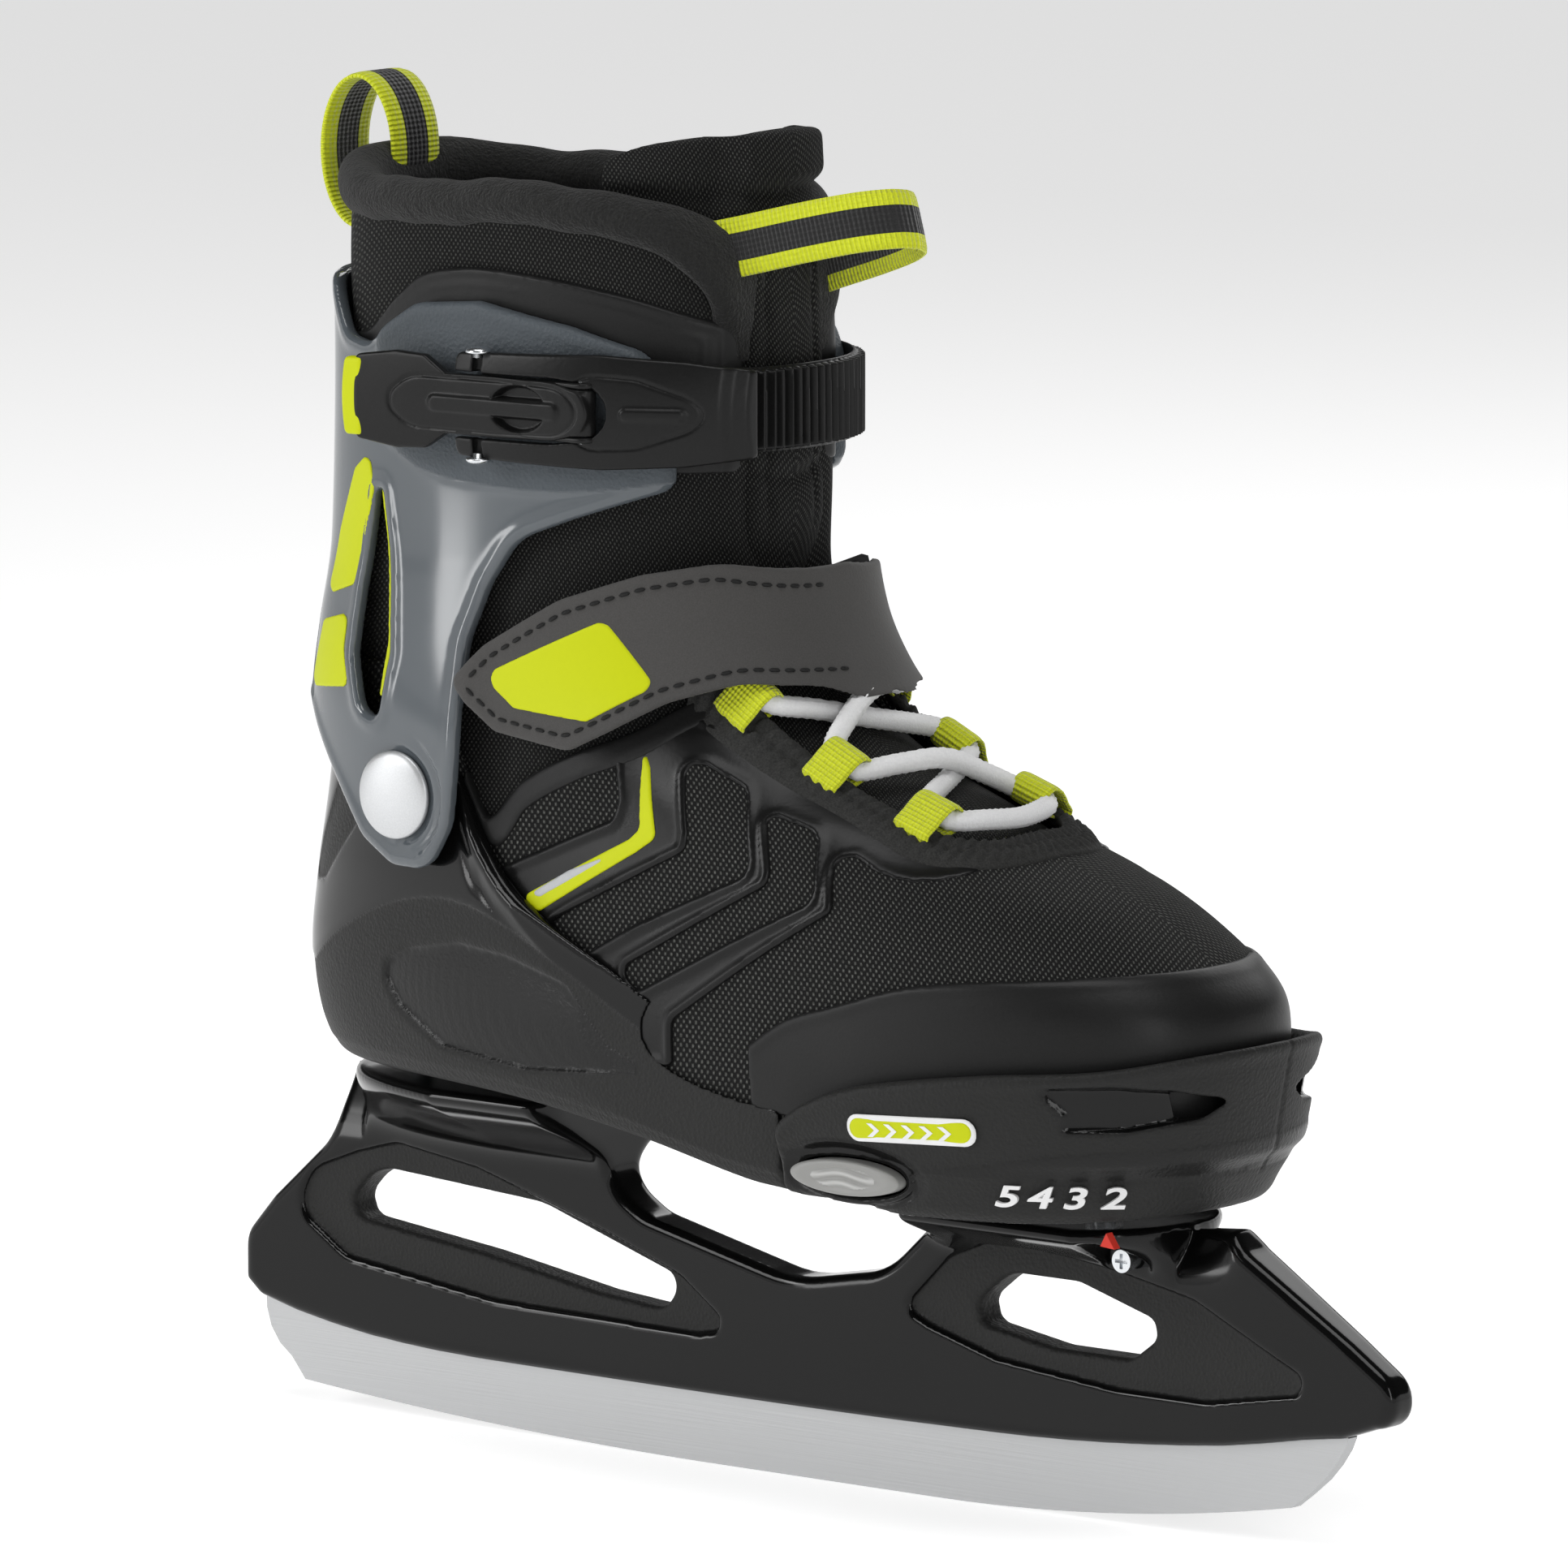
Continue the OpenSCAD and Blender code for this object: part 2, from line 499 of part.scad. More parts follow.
module cuff() {
    color(cuff_grey) difference() {
        wall(g_cuff, g_cuff + shell_t, level(cuff_end), -1, cuff_low, cuff_high, 64, 9,
            cuff_grow);
        for (s = [-1, 1]) {
            side_pin(s, pivot[0], 20, 60, pivot[1], 8 + 2 * running_fit);
            side_pin(s, pivot[0], cap_y - 0.3, 60, pivot[1], cap_d + 2);
            across(window, s < 0 ? -50 : 6, s < 0 ? -6 : 50);
        }
        side_pin(-1, -50, 30, 60, mid_z, 3.4);
        side_pin(1, -60, 30, 60, mid_z, 4);
    }
}
decal_up = [[[-113, 179], [-100, 185], [-96, 196], [-93, 206]],
    [[-113, 182], [-108, 195], [-101, 209], [-94, 213]]];
decal_down = [[[-119, 160], [-99, 163]], [[-119, 162], [-113, 175], [-99, 179]]];
module cuff_decals() {
    g = g_cuff + shell_t;
    color(lime) for (side = [[-1, -0.55], [0.55, 1]]) {
        wall(g + 0.5, g + 0.95, level(-94.5), -1, decal_up[0], decal_up[1], 6, 4, cuff_grow,
            side);
        wall(g + 0.5, g + 0.95, level(-99), -1, decal_down[0], decal_down[1], 6, 4, cuff_grow,
            side);
    }
}
liner_low = [[-125, 180], [-86, 181], [-60, 187], [-40, 199], [-12, 218]];
liner_high = [[-125, 261], [-90, 263.4], [-54, 263.4], [-30, 258.4], [-19, 253.5]];
module cuff_liner() {
    color(textile) wall(-4.5, -0.3, level(-19), -1, liner_low, liner_high, 32, 6);
}
module liner_facing() {
    color(black) wall(0, 0.6, level(-22), -1, [[-125, 215], [-60, 215], [-16, 220]],
        [[-125, 236], [-100, 238], [-88, 245], [-76, 252], [-60, 253.5], [-31, 251], [-16, 243]],
        48, 4);
}
collar_z = [[-125, 266.5], [-90, 269], [-60, 269], [-30, 264], [-15, 258]];
module collar() {
    color(textile) tube([for (s = steps(30)) let (x = -119 + 95 * pow(abs(s), 1.8))
        round_pt(s, curve(collar_z, x), -3, -24, -1)], 4.6);
}
module tongue_upper() {
    color(textile) wall(-3.8, 0.2, level(-18), 1, level(219), [[-16, 276], [-8, 282]], 12, 5);
}
module front_pull_loop() {
    color(lime) translate([0, 0, 256]) linear_extrude(14) difference() {
        translate([3, 0]) scale([1, 0.42]) circle(r = 18);
        translate([3, 0]) scale([1, 0.36]) circle(r = 16.5);
        translate([-20, -20]) square([12, 40]);
    }
}
// Band of webbing bent along part of an ellipse, from angle a0 to a1, of thickness t.
function bent_band(rx, rz, t, a0, a1, n = 20) = concat(
    [for (a = steps(n, a0, a1)) [rx * cos(a), rz * sin(a)]],
    [for (a = steps(n, a1, a0)) [(rx - t) * cos(a), (rz - t) * sin(a)]]);
module rear_pull_loop() {
    color(lime) translate([-121, 7.5, 272]) rotate([90, 0, 0]) linear_extrude(15)
        polygon(bent_band(10, 16, 1.4, 12, 250));
}

// ---------- buckle ----------
module arc_plate(r0, r1, a0, a1, z0, z1) {
    translate([arm_centre[0], arm_centre[1], z0]) rotate([0, 0, a0])
        rotate_extrude(angle = a1 - a0, $fn = 96) translate([r0, 0]) square([r1 - r0, z1 - z0]);
}
// Puts its children in the lever's frame: origin on the pin, -X towards the handle.
module in_lever() {
    translate([hinge[0], hinge[1], mid_z]) rotate([0, 0, lever_tilt]) children();
}
module buckle_base() {
    color(black) difference() {
        union() {
            translate([-60, -42, mid_z - 6.6]) cube([22, 1.2, 13.2]);
            for (s = [-1, 1]) {
                translate([-40, -42, mid_z + s * 7.5 - 0.6]) cube([10.4, 4, 1.2]);
                translate([-44, -42, mid_z + s * 7.3 - 0.8]) cube([5, 1.2, 1.6]);
            }
        }
        translate([hinge[0], hinge[1], mid_z - 12]) cylinder(d = 2.5, h = 24);
        pin(-50, -44, -40, mid_z, 3.4);
    }
}
module buckle_screw() {
    color(silver) {
        pin(-50, -42, -38.2, mid_z, 3.3);
        pin(-50, -42.6, -42, mid_z, 6);
    }
}
module lever_pin() {
    color(silver) translate([hinge[0], hinge[1], mid_z - 8.4]) cylinder(d = 2.5, h = 16.8);
}
lever_len = 56;
module buckle_lever() {
    color(black) in_lever() difference() {
        union() {
            cylinder(r = 2.6, h = 13.2, center = true);
            translate([-34, lever_mid - 1.4, -6.6]) cube([34.4, 2.8, 13.2]);
            translate([-lever_len, lever_mid - 1.8, -9.5]) cube([lever_len - 33.5, 3.2, 19]);
            translate([-2.6, lever_mid - 1.4, -6.6]) cube([3, 4, 13.2]);
        }
        cylinder(d = 2.5 + 2 * running_fit, h = 30, center = true);
        translate([arm_pin_x, lever_mid, 0]) cylinder(d = 2.5, h = 30, center = true);
    }
}
module lever_tab() {
    color(lime) in_lever() translate([-lever_len - 3.2, lever_mid - 1.4, -8]) cube([3.2, 2.4, 16]);
}
module buckle_arm() {
    color(black) difference() {
        arc_plate(arm_r - 3.4, arm_r, -94.5, -45.5, buckle_z[0], buckle_z[1]);
        translate([-70, -60, mid_z - 8.5]) cube([42.5, 30, 17]);
        in_lever() translate([arm_pin_x, lever_mid, 0])
            cylinder(d = 2.5 + 2 * running_fit, h = 30, center = true);
    }
}
module arm_pin() {
    color(silver) in_lever() translate([arm_pin_x, lever_mid, 0]) {
        cylinder(d = 2.5, h = 24, center = true);
        for (z = [-12.4, 12.4]) translate([0, 0, z]) cylinder(d = 5, h = 0.8, center = true);
    }
}
module ladder_strap() {
    color(black) difference() {
        wall(4.3, 6.1, level(-66), 1, level(mid_z - ladder_h / 2), level(mid_z + ladder_h / 2),
            36, 2, level(0), [-0.55, 1]);
        side_pin(1, -60, 30, 60, mid_z, 4);
    }
}
module ladder_screw() {
    color(silver) {
        side_pin(1, -60, 38.2, 43.6, mid_z, 3.9);
        side_pin(1, -60, 43.6, 45.4, mid_z, 8);
    }
}

blade();
blade_holder();
blade_rivets();
frame_bolts();
cross_screw();
base_shell();
size_pointer();
insole();
pivot_rivet_lateral();
pivot_rivet_medial();
quarter();
quarter_overlays();
tongue_lower();
eyestay();
lace_loops();
lace();
strap_band();
strap_ring();
strap_tip();
toe_shell();
toe_box();
toe_rand();
size_badge();
size_numerals();
size_button();
button_spring();
cuff();
cuff_decals();
cuff_liner();
liner_facing();
collar();
tongue_upper();
front_pull_loop();
rear_pull_loop();
buckle_base();
buckle_screw();
lever_pin();
buckle_lever();
lever_tab();
buckle_arm();
arm_pin();
ladder_strap();
ladder_screw();
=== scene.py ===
"""Looks of the size-adjustable ice skate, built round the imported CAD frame.

Moulded and padded parts are modelled as fields of signed distance on a voxel grid, most of
them as layers of one boot form that part.scad uses too. Lengths are in millimetres until a
mesh is made. +X is the toe, +Y the inner side, +Z up.

An outline is a closed list of corners [x, z] or [x, z, corner radius]. A curve's keys are [x, z].
"""
import math

import bpy
import numpy as np
import openvdb
from mathutils import Matrix, Vector


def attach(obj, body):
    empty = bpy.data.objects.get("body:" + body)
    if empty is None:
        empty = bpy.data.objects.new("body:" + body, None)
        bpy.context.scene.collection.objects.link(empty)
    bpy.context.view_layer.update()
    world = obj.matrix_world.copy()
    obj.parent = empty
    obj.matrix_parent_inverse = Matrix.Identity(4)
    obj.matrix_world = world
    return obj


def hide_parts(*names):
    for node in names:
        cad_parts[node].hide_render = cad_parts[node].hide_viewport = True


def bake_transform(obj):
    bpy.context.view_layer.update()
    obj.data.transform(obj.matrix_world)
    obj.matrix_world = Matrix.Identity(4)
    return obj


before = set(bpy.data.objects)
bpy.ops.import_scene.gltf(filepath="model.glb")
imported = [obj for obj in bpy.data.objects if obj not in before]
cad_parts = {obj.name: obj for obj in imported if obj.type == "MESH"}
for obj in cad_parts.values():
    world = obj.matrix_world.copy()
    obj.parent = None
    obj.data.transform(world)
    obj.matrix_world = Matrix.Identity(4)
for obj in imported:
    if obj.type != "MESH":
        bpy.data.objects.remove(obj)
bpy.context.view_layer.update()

MM = 0.001
COARSE = 1.0

# ---------------------------------------------------------------------------------------------
# Boot form: a stack of horizontal slices. Each key is [height, value], as in part.scad.
# ---------------------------------------------------------------------------------------------
BACK_X = [[60, -112], [72, -120], [80, -124], [90, -129], [104, -131], [120, -129], [145, -124],
          [165, -122], [205, -120], [245, -119], [290, -121]]
FRONT_X = [[60, 94], [72, 100], [80, 105], [92, 108], [104, 110], [112, 108], [121, 98],
           [130, 82], [137, 62], [144, 46], [150, 30], [157, 17], [165, 6], [173, -1],
           [182, -6], [195, -9], [240, -10], [290, -13]]
WIDE_X = [[60, 35], [110, 32], [125, 12], [140, -15], [155, -42], [170, -60], [200, -64],
          [290, -66]]
HALF_W = [[60, 37], [80, 41.5], [95, 43.5], [112, 43], [125, 41.5], [140, 39], [155, 37],
          [170, 36], [205, 36], [245, 37], [290, 38]]
N_BACK = 2.4
N_FRONT = 2.3

PIVOT = (-84, 142)       # ankle pivot, (x, z)
HINGE = (-33, -41)       # pin of the buckle lever, (x, y)
LEVER_TILT = math.radians(4)
ARM_CENTRE = (-58, 32)   # the buckle arm is bent round this point, (x, y)
ARM_R = 79
BUCKLE_MID = 226.5       # height of the buckle's middle
TOE_SKIN = 6.9           # the toe shell's outside, counted from the form


def curve(keys, x):
    """Smooth curve through keys: a cubic with averaged slopes, flat past its ends."""
    keys = np.array(keys, float)
    kx, ky = keys[:, 0], keys[:, 1]
    n = len(kx)
    x = np.asarray(x, float)
    i = np.clip(np.searchsorted(kx, x, side="right") - 1, 0, n - 2)
    h = kx[i + 1] - kx[i]
    t = np.clip((x - kx[i]) / h, 0, 1)
    before = np.maximum(np.arange(n) - 1, 0)
    after = np.minimum(np.arange(n) + 1, n - 1)
    slope = (ky[after] - ky[before]) / (kx[after] - kx[before])
    return ((2 * t**3 - 3 * t**2 + 1) * ky[i] + (t**3 - 2 * t**2 + t) * slope[i] * h
            + (3 * t**2 - 2 * t**3) * ky[i + 1] + (t**3 - t**2) * slope[i + 1] * h)


def half(x, z, g=0.0):
    """Half width of the form at x in the slice at height z, grown outwards by g."""
    mid = curve(WIDE_X, z)
    back = x < mid
    e = np.where(back, mid - curve(BACK_X, z), curve(FRONT_X, z) - mid) + g
    n = np.where(back, N_BACK, N_FRONT)
    u = np.minimum(1, np.abs(x - mid) / e)
    return (curve(HALF_W, z) + g) * np.power(1 - u**n, 1 / n)


def top_z(x, y):
    """Height of the form's upper surface over (x, y)."""
    low, high = 100.0, 290.0
    for _ in range(24):
        mid = (low + high) / 2
        if x < curve(FRONT_X, mid) and half(x, mid) > abs(y):
            low = mid
        else:
            high = mid
    return low


# ---------------------------------------------------------------------------------------------
# Fields
# ---------------------------------------------------------------------------------------------
class Space:
    """A box of voxels. Fields are arrays over it; negative is inside."""

    def __init__(self, low, high, step, mirror=False):
        step = step * COARSE
        self.step = step
        self.mirror = mirror
        if mirror:
            high = (high[0], 0.0, high[2])
            low = (low[0], -step * math.ceil(-low[1] / step), low[2])
        self.low = low
        counts = [int(math.ceil((b - a) / step - 1e-6)) + 1 for a, b in zip(low, high)]
        axes = [np.float32(a + step * np.arange(n)) for a, n in zip(low, counts)]
        self.x = axes[0][:, None, None]
        self.y = axes[1][None, :, None]
        self.z = axes[2][None, None, :]

    def level(self):
        """How far the form must grow to reach each voxel, and a factor to true distance."""
        x, y, z = self.x, self.y, self.z
        mid = curve(WIDE_X, z).astype(np.float32)
        rear = (mid - curve(BACK_X, z)).astype(np.float32)
        fore = (curve(FRONT_X, z) - mid).astype(np.float32)
        wide = curve(HALF_W, z).astype(np.float32)
        back = x < mid
        e = np.where(back, rear, fore)
        n = np.where(back, np.float32(N_BACK), np.float32(N_FRONT))
        a = np.abs(x - mid)
        b = np.abs(y)
        rho = ((a / e) ** n + (b / wide) ** n) ** (1 / n)
        least = -0.7 * np.minimum(e, wide)
        g = np.clip((rho - 1) * np.minimum(e, wide), least, 40)
        for _ in range(3):
            p = (a / (e + g)) ** n
            q = (b / (wide + g)) ** n
            g = np.clip(g + (p + q - 1) / (n * (p / (e + g) + q / (wide + g)) + 1e-6), least, 60)
        gx, gy, gz = np.gradient(g, self.step)
        return g.astype(np.float32), (1 / np.sqrt(gx**2 + gy**2 + gz**2 + 1e-6)).astype(np.float32)


def form_space(low, high, step, mirror=True):
    """Voxels round part of the boot: the space, its x, y and z, and both arrays of level().

    A mirrored space is built on one side only, so its y counts outwards from the middle.
    """
    s = Space(low, high, step, mirror)
    y = np.abs(s.y) if mirror else s.y
    return s, s.x, y, s.z, *s.level()


def layer(g, f, outer, inner, r):
    """Layer of the form between two levels, its edges rounded over about r."""
    return smax((g - outer) * f, (inner - g) * f, r)


def smax(a, b, r):
    """Intersection of two fields, rounded over about r."""
    return np.maximum(a, b) + np.maximum(r - np.abs(a - b), 0) ** 2 / (4 * r)


def smin(a, b, r):
    """Union of two fields, filleted over about r."""
    return -smax(-a, -b, r)


def step_up(x, a, b):
    """0 below a, 1 above b, smooth between."""
    t = np.clip((x - a) / (b - a), 0, 1)
    return t * t * (3 - 2 * t)


def bump(x, centre, width):
    """Bell of height 1."""
    return np.exp(-(((x - centre) / width) ** 2))


def rounded(points, steps=5):
    """Closed outline from corners [x, z, radius]."""
    out = []
    m = len(points)
    for i in range(m):
        a, b, c = (np.array(points[(i + k) % m][:2], float) for k in (-1, 0, 1))
        r = points[i][2] if len(points[i]) > 2 else 0
        if r == 0:
            out.append(b)
            continue
        u = (a - b) / np.linalg.norm(a - b)
        v = (c - b) / np.linalg.norm(c - b)
        angle = math.acos(max(-1, min(1, float(u @ v)))) / 2
        reach = min(r / math.tan(angle), 0.49 * np.linalg.norm(a - b), 0.49 * np.linalg.norm(c - b))
        bisect = (u + v) / max(np.linalg.norm(u + v), 1e-6)
        centre = b + bisect * reach / math.cos(angle)
        p, q = b + u * reach, b + v * reach
        for k in range(steps + 1):
            w = p + (q - p) * k / steps - centre
            out.append(centre + w / np.linalg.norm(w) * np.linalg.norm(p - centre))
    return out


def with_radius(points, r):
    """Closed outline from corners [x, z] that all get the same radius."""
    return rounded([[p[0], p[1], r] for p in points])


def inside(outline, x, z):
    """Signed distance to a closed outline, negative inside."""
    best = np.full(np.broadcast(x, z).shape, 1e9, np.float32)
    flip = np.zeros(best.shape, bool)
    for i in range(len(outline)):
        ax, az = outline[i][0], outline[i][1]
        bx, bz = outline[(i + 1) % len(outline)][0], outline[(i + 1) % len(outline)][1]
        ex, ez = bx - ax, bz - az
        size = ex * ex + ez * ez
        if size < 1e-9:
            continue
        t = np.clip(((x - ax) * ex + (z - az) * ez) / size, 0, 1)
        best = np.minimum(best, (x - ax - ex * t) ** 2 + (z - az - ez * t) ** 2)
        if az != bz:
            flip ^= ((az > z) != (bz > z)) & (x < ex * (z - az) / ez + ax)
    return np.where(flip, -1, 1) * np.sqrt(best)


def below(keys, x, z):
    """Roughly the distance under a curve z = keys(x), negative under it."""
    slope = (curve(keys, x + 1) - curve(keys, x - 1)) / 2
    return ((z - curve(keys, x)) / np.sqrt(1 + slope**2)).astype(np.float32)


# ---------------------------------------------------------------------------------------------
# Meshes
# ---------------------------------------------------------------------------------------------
def make_mesh(name, points, faces, material, body, smooth=True):
    """Object from points in millimetres, with faces all of one size (array) or mixed (list)."""
    mesh = bpy.data.meshes.new(name)
    points = np.asarray(points, np.float32) * MM
    if isinstance(faces, np.ndarray):
        k = faces.shape[1]
        mesh.vertices.add(len(points))
        mesh.vertices.foreach_set("co", points.ravel())
        mesh.loops.add(faces.size)
        mesh.loops.foreach_set("vertex_index", faces.astype(np.int32).ravel())
        mesh.polygons.add(len(faces))
        mesh.polygons.foreach_set("loop_start", np.arange(0, faces.size, k, dtype=np.int32))
    else:
        mesh.from_pydata([tuple(map(float, p)) for p in points], [], faces)
    mesh.update()
    mesh.validate()
    if smooth:
        mesh.shade_smooth()
    piece = bpy.data.objects.new(name, mesh)
    bpy.context.scene.collection.objects.link(piece)
    mesh.materials.append(material)
    if body:
        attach(piece, body)
    return piece


def relax(points, quads, rounds):
    """Even out voxel steps: each point moves half way to the mean of its neighbours."""
    a = np.concatenate([quads[:, k] for k in range(4)] * 2)
    b = np.concatenate([quads[:, (k + 1) % 4] for k in range(4)]
                       + [quads[:, (k - 1) % 4] for k in range(4)])
    count = np.bincount(a, minlength=len(points))[:, None]
    for _ in range(rounds):
        total = np.stack([np.bincount(a, points[b, i], len(points)) for i in range(3)], 1)
        points = points + 0.5 * (total / np.maximum(count, 1) - points)
    return points


def solid(name, space, d, material, body, rounds=2):
    """Mesh of a field's surface."""
    d = np.broadcast_to(d, (space.x.shape[0], space.y.shape[1], space.z.shape[2]))
    d = np.clip(d, -4, 4)
    if space.mirror:
        d = np.concatenate([d, d[:, -2::-1, :]], axis=1)
    grid = openvdb.FloatGrid(4.0)
    grid.copyFromArray(np.ascontiguousarray(d, dtype=np.float32))
    points, quads = grid.convertToQuads(0.0)
    points = relax(points.astype(float), quads, rounds)
    points = points * space.step + np.array(space.low)
    return make_mesh(name, points, quads[:, ::-1].astype(np.int32), material, body)


def coordinates(piece):
    """The x, y and z of a mesh's points, in millimetres."""
    co = np.empty(len(piece.data.vertices) * 3, np.float32)
    piece.data.vertices.foreach_get("co", co)
    return (co.reshape(-1, 3) / MM).T


def paint(piece, name, values):
    """Float value at each point, which materials read by name."""
    a = piece.data.attributes.new(name, "FLOAT", "POINT")
    a.data.foreach_set("value", np.asarray(values, np.float32))


def crisp(distance, soft=0.25):
    """1 inside an outline and 0 outside, over a soft edge."""
    return np.clip(0.5 - distance / (2 * soft), 0, 1)


def grid_mesh(name, rows, material, body, closed=False):
    """Surface through rows of points, all the same length; closed joins each row's ends."""
    rows = np.array(rows, float)
    r, c = rows.shape[:2]
    i, j = np.meshgrid(np.arange(r - 1), np.arange(c if closed else c - 1), indexing="ij")
    k = (j + 1) % c
    quads = np.stack([i * c + j, (i + 1) * c + j, (i + 1) * c + k, i * c + k], -1).reshape(-1, 4)
    return make_mesh(name, rows.reshape(-1, 3), quads, material, body)


def lathe(name, profile, at, axis, material, body, sides=64):
    """Turned solid. The profile is [radius, height] along the axis from the point at."""
    turn = Vector((0, 0, 1)).rotation_difference(Vector(axis)).to_matrix()
    points, faces = [], []
    for r, h in profile:
        for k in range(sides):
            a = 2 * math.pi * k / sides
            p = turn @ Vector((r * math.cos(a), r * math.sin(a), h)) + Vector(at)
            points.append(tuple(p))
    for i in range(len(profile) - 1):
        for k in range(sides):
            m = (k + 1) % sides
            faces.append((i * sides + k, i * sides + m, (i + 1) * sides + m, (i + 1) * sides + k))
    faces.append(tuple(range(sides))[::-1])
    faces.append(tuple(range((len(profile) - 1) * sides, len(profile) * sides)))
    return make_mesh(name, points, faces, material, body)


# ---------------------------------------------------------------------------------------------
# Materials
# ---------------------------------------------------------------------------------------------
class Paint:
    """A Principled material and short calls for its nodes."""

    def __init__(self, name, colour, roughness, **inputs):
        self.material = bpy.data.materials.new(name)
        self.material.use_nodes = True
        self.tree = self.material.node_tree
        self.shader = self.tree.nodes["Principled BSDF"]
        self.shader.inputs["Base Color"].default_value = (*colour, 1)
        self.shader.inputs["Roughness"].default_value = roughness
        for key, value in inputs.items():
            self.shader.inputs[key.replace("_", " ")].default_value = value
        self.place = self.node("ShaderNodeTexCoord").outputs["Object"]

    def node(self, kind, **settings):
        made = self.tree.nodes.new(kind)
        for key, value in settings.items():
            setattr(made, key, value)
        return made

    def wire(self, a, b):
        self.tree.links.new(a, b)

    def value(self, attribute):
        made = self.node("ShaderNodeAttribute", attribute_name=attribute)
        return made.outputs["Fac"]

    def math(self, operation, a, b=0.0):
        made = self.node("ShaderNodeMath", operation=operation)
        for socket, v in zip(made.inputs, (a, b)):
            if isinstance(v, (int, float)):
                socket.default_value = v
            else:
                self.wire(v, socket)
        return made.outputs[0]

    def mapped(self, scale):
        made = self.node("ShaderNodeMapping")
        made.inputs["Scale"].default_value = scale
        self.wire(self.place, made.inputs["Vector"])
        return made.outputs[0]

    def noise(self, scale, detail=2.0, stretch=(1, 1, 1)):
        made = self.node("ShaderNodeTexNoise")
        made.inputs["Scale"].default_value = scale
        made.inputs["Detail"].default_value = detail
        self.wire(self.mapped(stretch), made.inputs["Vector"])
        return made.outputs["Fac"]

    def cells(self, scale, feature="F1"):
        made = self.node("ShaderNodeTexVoronoi", feature=feature)
        made.inputs["Scale"].default_value = scale
        self.wire(self.mapped((1, 1, 1)), made.inputs["Vector"])
        return made.outputs["Distance"]

    def blend(self, factor, a, b):
        """Colour between a and b."""
        made = self.node("ShaderNodeMix", data_type="RGBA")
        for socket, v in zip((made.inputs[0], made.inputs[6], made.inputs[7]), (factor, a, b)):
            if isinstance(v, tuple):
                socket.default_value = (*v, 1)
            elif isinstance(v, (int, float)):
                socket.default_value = v
            else:
                self.wire(v, socket)
        return made.outputs[2]

    def between(self, factor, a, b):
        """Value between a and b."""
        made = self.node("ShaderNodeMapRange")
        self.wire(factor, made.inputs[0])
        made.inputs[3].default_value = a
        made.inputs[4].default_value = b
        return made.outputs[0]

    def colour(self, socket):
        self.wire(socket, self.shader.inputs["Base Color"])

    def rough(self, socket):
        self.wire(socket, self.shader.inputs["Roughness"])

    def relief(self, height, distance, strength=1.0):
        """Bump from a height socket; distance is in millimetres."""
        made = self.node("ShaderNodeBump")
        made.inputs["Distance"].default_value = distance * MM
        made.inputs["Strength"].default_value = strength
        self.wire(height, made.inputs["Height"])
        self.wire(made.outputs[0], self.shader.inputs["Normal"])


def moulded(name, gloss, matte, gloss_rough=0.12, matte_rough=0.5, shine=0.45):
    """Glossy plastic whose painted grain areas are matte and leather-grained."""
    p = Paint(name, gloss, gloss_rough)
    grain = p.value("grain")
    fine = p.noise(1500, 3)
    base = p.blend(grain, gloss, matte)
    p.colour(base)
    wear = p.between(p.noise(60, 4), -0.03, 0.05)
    p.rough(p.math("ADD", p.between(grain, gloss_rough, matte_rough), wear))
    p.wire(p.between(grain, shine, 0.15), p.shader.inputs["Specular IOR Level"])
    height = p.math("MULTIPLY", p.math("ADD", fine, p.math("MULTIPLY", p.cells(1100), 0.7)), grain)
    p.relief(height, 0.25, 0.7)
    return p.material


def knit(name, colour, bright, across=1.6, tall=2.0, depth=0.5):
    """Air mesh: staggered loops, with painted highlights on their crowns."""
    p = Paint(name, colour, 0.82, Sheen_Weight=0.03, Sheen_Roughness=0.5,
              Specular_IOR_Level=0.15)
    split = p.node("ShaderNodeSeparateXYZ")
    p.wire(p.place, split.inputs[0])
    x, y, z = split.outputs
    off = p.math("ABSOLUTE", y)
    round_it = p.math("SUBTRACT", x, off)
    drop = p.math("SUBTRACT", z, p.math("MULTIPLY", off, 0.6))
    wave_x = p.math("SINE", p.math("MULTIPLY", round_it, 2 * math.pi / (across * MM)))
    wave_z = p.math("SINE", p.math("MULTIPLY", drop, 2 * math.pi / (tall * MM)))
    loops = p.math("MAXIMUM", p.math("MULTIPLY", wave_x, wave_z), 0.0)
    crowns = p.math("POWER", loops, 0.8)
    fuzz = p.noise(2600, 2)
    height = p.math("ADD", crowns, p.math("MULTIPLY", fuzz, 0.4))
    # glints: the loops' crowns painted paler than the rest, a painted highlight
    glints = p.math("POWER", p.math("MULTIPLY", crowns, p.math("MULTIPLY", fuzz, 1.7)), 1.5)
    p.colour(p.blend(glints, colour, bright))
    p.relief(height, depth, 1.0)
    return p.material


def soft(name, colour, bright, rough=0.7, grain=900, depth=0.12, sheen=0.0):
    """Fine-grained sheet material such as microfibre or coated fabric."""
    p = Paint(name, colour, rough, Specular_IOR_Level=0.2, Sheen_Weight=sheen)
    n = p.noise(grain, 4)
    p.colour(p.blend(p.noise(grain * 1.7, 2), colour, bright))
    p.rough(p.between(p.noise(90, 3), rough - 0.06, rough + 0.08))
    p.relief(p.math("ADD", n, p.math("MULTIPLY", p.cells(grain * 0.8), 0.5)), depth, 0.6)
    return p.material


def fleece(name):
    """Deep, matte pile."""
    p = Paint(name, (0.010, 0.010, 0.011), 0.95, Sheen_Weight=0.12, Sheen_Roughness=0.6,
              Specular_IOR_Level=0.05)
    p.colour(p.blend(p.noise(1400, 5), (0.007, 0.007, 0.007), (0.026, 0.026, 0.025)))
    p.relief(p.math("ADD", p.noise(1600, 6), p.noise(500, 3)), 0.6, 1.0)
    return p.material


